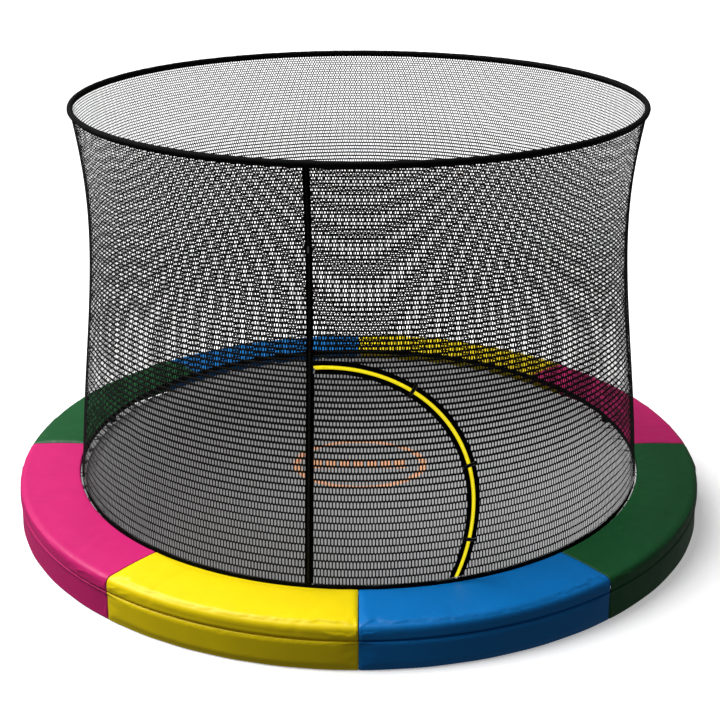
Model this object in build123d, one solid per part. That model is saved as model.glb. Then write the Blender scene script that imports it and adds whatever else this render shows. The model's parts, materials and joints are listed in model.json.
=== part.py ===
from build123d import *

import os
from math import cos, radians, sin, sqrt

# Low round trampoline with a soft enclosure net. Millimetres, +Z up, front towards -Y, origin on the
# ground at the centre. Azimuths are degrees from the front, counter-clockwise seen from above.

# ---- driving dimensions -------------------------------------------------------------------------
OUTER_R = 1525.0  # skirt's outer face: a 3.05 m (10 ft) trampoline
PAD_TOP_Z = 190.0
HOOP_Z = 1799.0
HOOP_R = 1190.0
MAT_Z = 149.0  # middle of the mat, the V-rings and the springs

# frame: six rails joined by six T-sleeves, each with a short leg and a rubber foot
RAILS = 6
RAIL_R = 1465.0
RAIL_Z = 138.0
TUBE_R = 19.0
TUBE_WALL = 2.0
SLEEVE_GAP = 0.2
SLEEVE_WALL = 2.3
SLEEVE_HALF_ANGLE = 2.35
RAIL_END_ANGLE = 0.05
SCREW_ANGLE = 1.6
SCREW_R = 2.9
SCREW_PLAY = 0.15
SCREW_HEAD_R = 5.8
SCREW_HEAD_HALF = 2.0
SCREW_LENGTH = 11.0
FOOT_R = 23.5
FOOT_H = 36.0
FOOT_FLOOR = 4.0

# bed: mat, rim webbing, webbing tabs, V-rings and springs
SPRINGS = 60
MAT_R = 1236.0
MAT_T = 1.2
RIM_R = (1196.0, 1238.5)
RIM_LAYER = 1.5
RING_BASE_X = 1251.0
RING_HALF_BASE = 22.0
RING_APEX_X = 1298.0
RING_CORNER_R = 6.0
RING_WIRE_R = 2.0
RING_PULL_X = 1290.4  # middle of the spring's inner hook, round the ring's rounded apex
TAB_HALF_WIDTH = 11.0
TAB_T = 1.8  # webbing tab's thickness round the ring's wire
TAB_PLAY = 0.6
COIL_X = (1304.0, 1436.0)
COIL_R = 12.0
COIL_BORE_R = 8.4
COIL_RIBS = 16
RIB_DEPTH = 0.8
HOOK_WIRE_R = 1.8
HOOK_ARC_R = 4.6
HOOK_BEND_R = 5.0
SPRING_HOLE_R = 1456.0  # distance of the spring holes from the centre
SPRING_HOLE_SIZE = 4.0

# pads: eight vinyl covers over foam, on one backing sheet held to the rails by elastic loops
PAD_INNER_R = 1259.0
PAD_UNDER_Z = 164.0
PAD_INNER_TOP_Z = 182.0
PAD_FLAT_R = 1473.0
PAD_FLAT_Z = 186.0
SHOULDER_Z = 136.0
SKIRT_Z = 3.0
VINYL = 1.5
FOAM_GAP = 0.3
BACKING_DROP = 0.5  # top of the backing sheet, below the foam
STRAP_T = 1.5
STRAP_HALF_ANGLE = 0.4
STRAP_PLAY = 2.0
FOAM_DROP_R = 1496.0
FOAM_DROP_Z = 124.0
SEAM_GAP_ANGLE = 0.01
SEAMS = (0, 39.5, 92.3, 135, 180, 222, 267.7, 320.5, 360)
PAD_NAMES = (
    "pad_front_right",
    "pad_right_front",
    "pad_right_back",
    "pad_back_right",
    "pad_back_left",
    "pad_left_back",
    "pad_left_front",
    "pad_front_left",
)

# net: waisted wall between the bottom hem and the hoop sleeve
NET_T = 1.0
NET_LOW_Z = 200.0
NET_TOP_Z = HOOP_Z - 12.5
NET_PROFILE = (  # middle radius of the net at each height
    (1251.0, 158.0),
    (1218.0, 540.0),
    (1167.0, 1000.0),
    (1147.0, 1360.0),
    (1159.0, 1580.0),
    (1188.5, NET_TOP_Z),
)
HEM_T = 2.0
HEM_Z = (158.0, 192.0)
SLEEVE_R = 12.5  # hoop sleeve, outside
SLEEVE_CLOTH = 1.0
ROD_R = 5.0
ROD_COUNT = 4
FERRULE_R = (5.2, 7.5)
FERRULE_HALF_ANGLE = 2.0
ROD_GAP_ANGLE = 0.02

# vertical zip, left of the front
STRIP_ANGLES = (-9.45, -8.1)
STRIP_CLOTH = 1.4
STRIP_GAP = 0.1
COIL_HALF_ANGLE = 0.2
ZIP_COIL_T = 2.0
ZIP_Z = (205.0, 1770.0)
SLIDER_Z = 1506.0
SLIDER_END_Z = 300.0
PULL_PLACE = Pos(0, -8.6, 3.4)  # from the slider's middle to the hinged end of its pull
SLIDER_LIFT = 4.6  # inner face of the slider above the net's outer face

# D-shaped door: its zip follows two half ellipses, seen from the front in X and Z
DOOR_X = -100.0
DOOR_Z = 490.0
DOOR_HALF_W = 533.0
DOOR_UP = 555.0
DOOR_DOWN = 620.0
DOOR_LEFT_ANGLE = -7.9
DOOR_RIGHT_ANGLE = 25.0
DOOR_LOW_Z = 193.5
DOOR_HEM_Z = 201.0
ZIP_GAP = 0.75
ZIP_HALF_COIL = 4.0
ZIP_HALF_W = 8.5
BINDING_W = 16.0
TAPE_LIFT = (0.2, 1.5)
COIL_LIFT = (1.7, 4.2)
DOOR_COIL_LEFT_ANGLE = -7.5  # the door's coil and tapes stay clear of the strip as the door swings
DOOR_TAPE_LEFT_ANGLE = -7.7
DOOR_SLIDER_TURN = 94.6
TAB_TURNS = (56.3, 16.1, -13.3)  # places of the closure tabs round the zip, from its widest point
TAB_SIZE = (62.0, 15.0, 1.5)
TAB_LIFT = 5.0


# ---- helpers ------------------------------------------------------------------------------------
def turned(azimuth, shape):
    """Shape drawn at +X, turned to an azimuth measured from the front."""
    return Rot(0, 0, azimuth - 90) * shape


def swept_ring(section, start, end):
    """Section drawn in radius and height, swept round the centre from one azimuth to another."""
    return turned(start, revolve(Plane.XZ * section, axis=Axis.Z, revolution_arc=end - start))


def full_ring(section):
    return revolve(Plane.XZ * section, axis=Axis.Z, revolution_arc=360)


def rect(r0, r1, z0, z1):
    return Pos((r0 + r1) / 2, (z0 + z1) / 2) * Rectangle(r1 - r0, z1 - z0)


def disc(r, z, radius):
    return Pos(r, z) * Circle(radius)


def box(x0, x1, y0, y1, z0, z1):
    return Pos((x0 + x1) / 2, (y0 + y1) / 2, (z0 + z1) / 2) * Box(x1 - x0, y1 - y0, z1 - z0)


def group(shapes):
    return Compound(children=list(shapes))


def save(name, shape):
    if not isinstance(shape, Compound) or not shape.children:
        solids = shape.solids()
        shape = solids[0] if len(solids) == 1 else Compound(children=list(solids))
    shape.label = name
    export_step(shape, f"parts/{name}.step")


def spring_azimuths():
    step = 360 / SPRINGS
    return [step * (k + 0.5) for k in range(SPRINGS)]


# ---- frame --------------------------------------------------------------------------------------
def rail():
    """One rail, from the joint at the front to the next one; the others are this one turned."""
    start = RAIL_END_ANGLE
    end = 360 / RAILS - RAIL_END_ANGLE
    section = disc(RAIL_R, RAIL_Z, TUBE_R) - disc(RAIL_R, RAIL_Z, TUBE_R - TUBE_WALL)
    tube = swept_ring(section, start, end)
    for azimuth in spring_azimuths():
        if start < azimuth < end:
            hole = Pos(SPRING_HOLE_R, 0, RAIL_Z + TUBE_R) * Cylinder(SPRING_HOLE_SIZE, 2 * TUBE_R - 8)
            tube -= turned(azimuth, hole)
    for azimuth in (start - RAIL_END_ANGLE + SCREW_ANGLE, end + RAIL_END_ANGLE - SCREW_ANGLE):
        tube -= screw_hole(azimuth)
    return tube


def screw_hole(azimuth):
    depth = 2 * TUBE_R - 12
    hole = Pos(RAIL_R + TUBE_R, 0, RAIL_Z) * Rot(0, 90, 0) * Cylinder(SCREW_R + SCREW_PLAY, depth)
    return turned(azimuth, hole)


def frame_joint():
    """T-piece at the front: a curved sleeve over two rail ends with a short leg welded under it."""
    bore_r = TUBE_R + SLEEVE_GAP
    end = SLEEVE_HALF_ANGLE
    sleeve = swept_ring(disc(RAIL_R, RAIL_Z, bore_r + SLEEVE_WALL), -end, end)
    leg_h = RAIL_Z - FOOT_FLOOR - SLEEVE_GAP
    leg_z = FOOT_FLOOR + SLEEVE_GAP + leg_h / 2
    joint = sleeve + turned(0, Pos(RAIL_R, 0, leg_z) * Cylinder(TUBE_R, leg_h))
    joint -= swept_ring(disc(RAIL_R, RAIL_Z, bore_r), -end - 1, end + 1)
    joint -= turned(0, Pos(RAIL_R, 0, leg_z - TUBE_R / 2) * Cylinder(TUBE_R - TUBE_WALL, leg_h + TUBE_R))
    for azimuth in (-SCREW_ANGLE, SCREW_ANGLE):
        joint -= screw_hole(azimuth)
    return joint


def foot_caps():
    height = FOOT_H - FOOT_FLOOR
    cup = Pos(RAIL_R, 0, FOOT_H / 2) * Cylinder(FOOT_R, FOOT_H)
    cup -= Pos(RAIL_R, 0, FOOT_FLOOR + height / 2 + 5) * Cylinder(TUBE_R + SLEEVE_GAP, height + 10)
    cup = chamfer(cup.edges().group_by(Axis.Z)[0], 1.5)
    return group(turned(k * 360 / RAILS, cup) for k in range(RAILS))


def frame_screws():
    face = RAIL_R + TUBE_R + SLEEVE_GAP + SLEEVE_WALL + 0.3
    hexagon = extrude(RegularPolygon(SCREW_HEAD_R, 6), SCREW_HEAD_HALF, both=True)
    head = Pos(face + SCREW_HEAD_HALF, 0, RAIL_Z) * Rot(0, 90, 0) * hexagon
    shank = Pos(face + 0.5 - SCREW_LENGTH / 2, 0, RAIL_Z) * Rot(0, 90, 0) * Cylinder(SCREW_R, SCREW_LENGTH)
    screw = head + shank
    azimuths = [k * 360 / RAILS + side * SCREW_ANGLE for k in range(RAILS) for side in (-1, 1)]
    return group(turned(a, screw) for a in azimuths)


# ---- bed ----------------------------------------------------------------------------------------
def mat():
    return Pos(0, 0, MAT_Z) * Cylinder(MAT_R, MAT_T)


def mat_rim():
    half = MAT_T / 2
    band = rect(RIM_R[0], RIM_R[1], MAT_Z - half - RIM_LAYER, MAT_Z + half + RIM_LAYER)
    return full_ring(band - rect(RIM_R[0] - 5, MAT_R, MAT_Z - half, MAT_Z + half))


def ring_tabs():
    low = MAT_Z + MAT_T / 2 + RIM_LAYER + 0.1
    inner = RING_WIRE_R + TAB_PLAY
    loop = disc(RING_BASE_X, MAT_Z, inner + TAB_T)
    loop += rect(RIM_R[0] + 5, RING_BASE_X, low, MAT_Z + inner + TAB_T)
    loop -= disc(RING_BASE_X, MAT_Z, inner)
    tab = extrude(Plane.XZ * loop, TAB_HALF_WIDTH, both=True)
    return group(turned(a, tab) for a in spring_azimuths())


def v_rings():
    corners = ((RING_BASE_X, RING_HALF_BASE), (RING_APEX_X, 0), (RING_BASE_X, -RING_HALF_BASE))
    path = FilletPolyline(*corners, radius=RING_CORNER_R, close=True)
    wire = sweep(Plane(path @ 0, z_dir=path % 0) * Circle(RING_WIRE_R), path=path)
    return group(turned(a, Pos(0, 0, MAT_Z) * wire) for a in spring_azimuths())


def spring_coil():
    """Close-wound body, drawn about the X axis: shallow ribs outside, hollow inside, one closed end."""
    step = (COIL_X[1] - COIL_X[0]) / COIL_RIBS / 2
    ribs = [(COIL_X[0] + k * step, COIL_R - RIB_DEPTH * (k % 2 == 0)) for k in range(2 * COIL_RIBS + 1)]
    outline = [(COIL_X[0], 0)] + ribs + [(COIL_X[1], COIL_BORE_R)]
    outline += [(COIL_X[0] + 2.5, COIL_BORE_R), (COIL_X[0] + 2.5, 0)]
    return revolve(make_face(Polyline(*outline, close=True)), axis=Axis.X, revolution_arc=360)


def springs():
    body = Pos(0, 0, MAT_Z) * spring_coil()
    top = MAT_Z + HOOK_ARC_R
    inner = Line((COIL_X[0] + 1, top), (RING_PULL_X, top))
    inner += CenterArc((RING_PULL_X, MAT_Z), HOOK_ARC_R, 90, 220)
    body += hook(inner)
    high = MAT_Z + COIL_R - 2.2
    bend = SPRING_HOLE_R - HOOK_BEND_R
    outer = Line((COIL_X[1] - 3, high), (bend, high))
    outer += JernArc((bend, high), (1, 0), HOOK_BEND_R, -90)
    outer += Line((SPRING_HOLE_R, high - HOOK_BEND_R), (SPRING_HOLE_R, high - HOOK_BEND_R - 8))
    body += hook(outer)
    return group(turned(a, body) for a in spring_azimuths())


def hook(curve):
    path = Plane.XZ * curve
    wire = Wire(path.edges())
    start = wire @ 0
    return sweep(Plane(start, z_dir=wire % 0) * Circle(HOOK_WIRE_R), path=wire)


# ---- pads ---------------------------------------------------------------------------------------
def pad_section(inset, low):
    """Everything under the pad's top line, from the inner face to the skirt, inset by a thickness."""
    inner, outer = PAD_INNER_R + inset, OUTER_R - inset
    crown = ((PAD_INNER_R + PAD_FLAT_R) / 2, PAD_TOP_Z - inset)
    rise = (PAD_INNER_R + 9, PAD_TOP_Z - 2.5 - inset)
    outline = [
        Line((outer, low), (inner, low)),
        Line((inner, low), (inner, PAD_INNER_TOP_Z)),
        TangentArc((inner, PAD_INNER_TOP_Z), rise, tangent=(0, 1)),
        ThreePointArc(rise, crown, (PAD_FLAT_R, PAD_FLAT_Z - inset)),
        TangentArc((outer, SHOULDER_Z), (PAD_FLAT_R, PAD_FLAT_Z - inset), tangent=(0, 1)),
        Line((outer, SHOULDER_Z), (outer, low)),
    ]
    return make_face(outline)


def sector(section, index):
    return swept_ring(section, SEAMS[index] + SEAM_GAP_ANGLE, SEAMS[index + 1] - SEAM_GAP_ANGLE)


def pad_cover(index):
    shell = pad_section(0, SKIRT_Z) - pad_section(VINYL, SKIRT_Z - 20)
    shell -= rect(PAD_INNER_R - 5, FOAM_DROP_R, -20, PAD_UNDER_Z)
    return sector(shell, index)


def foam_cores():
    block = pad_section(VINYL + FOAM_GAP, FOAM_DROP_Z)
    block -= rect(PAD_INNER_R - 5, FOAM_DROP_R, FOAM_DROP_Z - 5, PAD_UNDER_Z + VINYL)
    return group(sector(block, k) for k in range(len(PAD_NAMES)))


def pad_backing():
    inner = PAD_INNER_R + VINYL + FOAM_GAP
    low = PAD_UNDER_Z - BACKING_DROP
    return full_ring(rect(inner, FOAM_DROP_R - 2, low, low + VINYL))


def pad_straps():
    inside = TUBE_R + STRAP_PLAY
    top = PAD_UNDER_Z - BACKING_DROP
    loop = disc(RAIL_R, RAIL_Z, inside + STRAP_T) + rect(RAIL_R - 3, RAIL_R + 3, RAIL_Z, top)
    loop -= disc(RAIL_R, RAIL_Z, inside)
    azimuths = [60 * k + 12 * step for k in range(RAILS) for step in (1, 2, 3, 4)]
    return group(swept_ring(loop, a - STRAP_HALF_ANGLE, a + STRAP_HALF_ANGLE) for a in azimuths)


# ---- net ----------------------------------------------------------------------------------------
def net_line(shift, low, high):
    """The net's meridian moved outwards by shift, closed into a face that reaches the axis' side."""
    curve = Spline(*[(r + shift, z) for r, z in NET_PROFILE])
    inside = [
        Line(curve @ 0, (900, NET_PROFILE[0][1])),
        Line((900, NET_PROFILE[0][1]), (900, NET_PROFILE[-1][1])),
        Line((900, NET_PROFILE[-1][1]), curve @ 1),
    ]
    return make_face([curve] + inside) & rect(899, 1400, low, high)


def net_skin(inner, outer, low, high):
    """Section between two shifts of the net's meridian, measured from the net's outer face."""
    face = NET_T / 2
    return net_line(face + outer, low, high) - net_line(face + inner, low, high)


def net_radius(z):
    """Radius of the net's outer face at a height."""
    line = Spline(*NET_PROFILE)
    cut = Line((900, z), (1400, z))
    return line.find_intersection_points(cut)[0].X + NET_T / 2


def door_prism(offset):
    """Solid bar along Y whose outline is the zip's line moved outwards by offset."""
    width = DOOR_HALF_W + offset
    upper = Ellipse(width, DOOR_UP + offset) & Pos(0, 1000) * Rectangle(3000, 2000)
    lower = Ellipse(width, DOOR_DOWN + offset) & Pos(0, -1000) * Rectangle(3000, 2000)
    outline = Pos(DOOR_X, DOOR_Z) * (upper + lower)
    return extrude(Plane.XZ * outline, 1600)


def door_part(inner, outer, offsets, low, left=DOOR_LEFT_ANGLE):
    """Piece of the net's skin in front, between two offsets from the zip's line (None: all inside)."""
    skin = swept_ring(net_skin(inner, outer, low, 1200), left, DOOR_RIGHT_ANGLE)
    skin &= door_prism(offsets[1])
    if offsets[0] is not None:
        skin -= door_prism(offsets[0])
    return skin


def net_wall():
    wall = full_ring(net_skin(-NET_T, 0, NET_LOW_Z, NET_TOP_Z))
    cutter = swept_ring(net_line(20, NET_LOW_Z - 5, 1200), STRIP_ANGLES[1], DOOR_RIGHT_ANGLE)
    return wall - (cutter & door_prism(ZIP_GAP))


def net_door():
    return door_part(-NET_T, 0, (None, -ZIP_GAP), DOOR_HEM_Z)


def door_hem():
    tape = net_skin(-NET_T - 0.5, 0.1, DOOR_LOW_Z, DOOR_HEM_Z)
    return swept_ring(tape, DOOR_LEFT_ANGLE, DOOR_RIGHT_ANGLE) & door_prism(-ZIP_GAP)


def net_hem():
    mid, half = NET_PROFILE[0][0], HEM_T / 2
    lower = full_ring(rect(mid - half, mid + half, *HEM_Z))
    upper = full_ring(rect(mid - half, mid + half, HEM_Z[1] - 1, NET_LOW_Z - 0.2))
    door = swept_ring(rect(1100, 1400, HEM_Z[1], NET_LOW_Z), STRIP_ANGLES[1], DOOR_RIGHT_ANGLE)
    return lower + (upper - (door & door_prism(ZIP_GAP)))


def hem_hooks():
    """Plastic hooks from the hem round the base wire of every second V-ring."""
    wire_r, arc_r, side = 1.4, HOOK_ARC_R, 16.0
    curl = Plane.XZ * CenterArc((RING_BASE_X, MAT_Z), arc_r, 90, 250)
    start = Plane(curl @ 0, z_dir=curl % 0)
    curved = sweep(start * Circle(wire_r), path=curl)
    stem_h = HEM_Z[0] - MAT_Z - arc_r
    stem = Pos(RING_BASE_X, 0, MAT_Z + arc_r + stem_h / 2) * Box(2 * wire_r - 0.8, 7, stem_h)
    hook_shape = Pos(0, side, 0) * (curved + stem)
    return group(turned(a, hook_shape) for a in spring_azimuths()[::2])


def net_top_sleeve():
    return full_ring(disc(HOOP_R, HOOP_Z, SLEEVE_R) - disc(HOOP_R, HOOP_Z, SLEEVE_R - SLEEVE_CLOTH))


def hoop_rods():
    span = 360 / ROD_COUNT
    section = disc(HOOP_R, HOOP_Z, ROD_R)
    starts = [(k + 0.5) * span + ROD_GAP_ANGLE for k in range(ROD_COUNT)]
    return group(swept_ring(section, a, a + span - 2 * ROD_GAP_ANGLE) for a in starts)


def hoop_ferrules():
    section = disc(HOOP_R, HOOP_Z, FERRULE_R[1]) - disc(HOOP_R, HOOP_Z, FERRULE_R[0])
    middles = [360 / ROD_COUNT * (k + 0.5) for k in range(ROD_COUNT)]
    return group(swept_ring(section, m - FERRULE_HALF_ANGLE, m + FERRULE_HALF_ANGLE) for m in middles)


# ---- vertical zip -------------------------------------------------------------------------------
def main_zip_tape():
    return swept_ring(net_skin(STRIP_GAP, STRIP_GAP + STRIP_CLOTH, NET_LOW_Z, NET_TOP_Z), *STRIP_ANGLES)


def strip_middle():
    return sum(STRIP_ANGLES) / 2


def main_zip_coil():
    low = STRIP_GAP + STRIP_CLOTH + STRIP_GAP
    skin = net_skin(low, low + ZIP_COIL_T, *ZIP_Z)
    return swept_ring(skin, strip_middle() - COIL_HALF_ANGLE, strip_middle() + COIL_HALF_ANGLE)


def main_zip_stops():
    low = STRIP_GAP + STRIP_CLOTH + STRIP_GAP
    ends = [(ZIP_Z[0] - 4.5, ZIP_Z[0] - 0.5), (ZIP_Z[1] + 0.5, ZIP_Z[1] + 4.5)]
    span = (strip_middle() - 0.22, strip_middle() + 0.22)
    return group(swept_ring(net_skin(low, low + 2.4, *z), *span) for z in ends)


def on_strip(z, lift):
    """Plane on the strip: X along the strip's width, Y up the net, Z outwards."""
    r0, r1 = net_radius(z - 5), net_radius(z + 5)
    azimuth = radians(strip_middle())
    radial = Vector(sin(azimuth), -cos(azimuth), 0)
    up = (radial * (r1 - r0) + Vector(0, 0, 10)).normalized()
    width = Vector(cos(azimuth), sin(azimuth), 0)
    out = width.cross(up)
    origin = radial * ((r0 + r1) / 2) + Vector(0, 0, z) + out * lift
    return Plane(origin=origin, x_dir=width, z_dir=out)


def slider_body():
    """Zip slider drawn flat: wide at its shoulders, narrow at its nose, with a bridge for the pull."""
    plan = make_face(Polyline((-5, 9), (5, 9), (6, 3), (4, -9), (-4, -9), (-6, 3), close=True))
    body = extrude(plan, 2.2)
    bridge = Pos(0, 0, 3.5) * (Box(2.4, 12, 3.2) - Pos(0, -1, -1.2) * Box(3, 6, 1.6))
    return body + bridge


def pull_tab():
    """Flat pull with a slot at its hinged end, hanging down from the origin."""
    plate = Pos(0, -12.2) * RectangleRounded(7, 26, 2.5) - Pos(0, -1.6) * Rectangle(3.4, 2.0)
    plate -= Pos(0, -19) * SlotOverall(4.6, 2.0)
    return extrude(plate, 1.2)


def main_zip_slider():
    return on_strip(SLIDER_Z, SLIDER_LIFT) * slider_body()


def main_zip_pull():
    return on_strip(SLIDER_Z, SLIDER_LIFT) * PULL_PLACE * pull_tab()


# ---- door zip -----------------------------------------------------------------------------------
def on_zip(turn, offset, lift):
    """Plane on the net at a turn round the zip: X across the zip and away from the door, Z outwards."""

    def point(t, shift):
        rise = DOOR_UP if sin(radians(t)) > 0 else DOOR_DOWN
        x = DOOR_X + (DOOR_HALF_W + shift) * cos(radians(t))
        z = DOOR_Z + (rise + shift) * sin(radians(t))
        return Vector(x, -sqrt(net_radius(z) ** 2 - x * x), z)

    middle = point(turn, offset)
    across = (point(turn, offset + 20) - point(turn, offset - 20)).normalized()
    along = (point(turn + 1, offset) - point(turn - 1, offset)).normalized()
    out = across.cross(along).normalized()
    return Plane(origin=middle + out * lift, x_dir=across, z_dir=out)


def door_tab(turn):
    """Closure tab: strap over the zip, sewn at its door end, where a lip reaches down to the binding."""
    length, width, thick = TAB_SIZE
    strap = extrude(Pos(0, 0) * RectangleRounded(length, width, 3), thick)
    lip = box(-length / 2, -length / 2 + 6, -width / 2 + 1, width / 2 - 1, -2.6, 0.5)
    return on_zip(turn, 0, TAB_LIFT) * (strap + lip)


def door_tab_patches():
    """Hook-and-loop patches on the wall's binding, under the free ends of the tabs."""
    patch = box(13, 25, -6.5, 6.5, -2.7, -0.4)
    return group(on_zip(turn, 0, TAB_LIFT) * patch for turn in TAB_TURNS)


def door_zip_slider():
    return on_zip(DOOR_SLIDER_TURN, 0, SLIDER_LIFT) * slider_body()


def door_zip_pull():
    return on_zip(DOOR_SLIDER_TURN, 0, SLIDER_LIFT) * PULL_PLACE * pull_tab()


def main():
    os.makedirs("parts", exist_ok=True)
    one_rail, one_joint = rail(), frame_joint()
    for k in range(RAILS):
        save(f"frame_rail_{k + 1}", Rot(0, 0, k * 360 / RAILS) * one_rail)
        save(f"frame_joint_{k + 1}", Rot(0, 0, k * 360 / RAILS) * one_joint)
    for k, name in enumerate(PAD_NAMES):
        save(name, pad_cover(k))
    for k, turn in enumerate(TAB_TURNS):
        save(f"door_tab_{k + 1}", door_tab(turn))
    wall_side = (ZIP_GAP, ZIP_GAP + ZIP_HALF_COIL, ZIP_HALF_W, ZIP_HALF_W + BINDING_W)
    strip = STRIP_ANGLES[1] + 0.05
    coil_edge = (DOOR_HEM_Z, DOOR_COIL_LEFT_ANGLE)
    tape_edge = (DOOR_HEM_Z, DOOR_TAPE_LEFT_ANGLE)
    pieces = {
        "foot_caps": foot_caps(),
        "frame_screws": frame_screws(),
        "mat": mat(),
        "mat_rim": mat_rim(),
        "ring_tabs": ring_tabs(),
        "v_rings": v_rings(),
        "springs": springs(),
        "foam_cores": foam_cores(),
        "pad_backing": pad_backing(),
        "pad_straps": pad_straps(),
        "net_wall": net_wall(),
        "net_door": net_door(),
        "net_hem": net_hem(),
        "door_hem": door_hem(),
        "hem_hooks": hem_hooks(),
        "net_top_sleeve": net_top_sleeve(),
        "hoop_rods": hoop_rods(),
        "hoop_ferrules": hoop_ferrules(),
        "main_zip_tape": main_zip_tape(),
        "main_zip_coil": main_zip_coil(),
        "main_zip_stops": main_zip_stops(),
        "main_zip_slider": main_zip_slider(),
        "main_zip_pull": main_zip_pull(),
        "door_zip_wall_coil": door_part(*COIL_LIFT, wall_side[0:2], NET_LOW_Z, strip),
        "door_zip_wall_tape": door_part(*TAPE_LIFT, wall_side[0:3:2], NET_LOW_Z, strip),
        "door_zip_wall_binding": door_part(*TAPE_LIFT, wall_side[2:4], NET_LOW_Z, strip),
        "door_zip_door_coil": door_part(*COIL_LIFT, (-wall_side[1], -wall_side[0]), *coil_edge),
        "door_zip_door_tape": door_part(*TAPE_LIFT, (-wall_side[2], -wall_side[0]), *tape_edge),
        "door_zip_door_binding": door_part(*TAPE_LIFT, (-wall_side[3], -wall_side[2]), *tape_edge),
        "door_zip_slider": door_zip_slider(),
        "door_zip_pull": door_zip_pull(),
        "door_tab_patches": door_tab_patches(),
    }
    for name, shape in pieces.items():
        save(name, shape)


if __name__ == "__main__":
    main()
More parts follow.
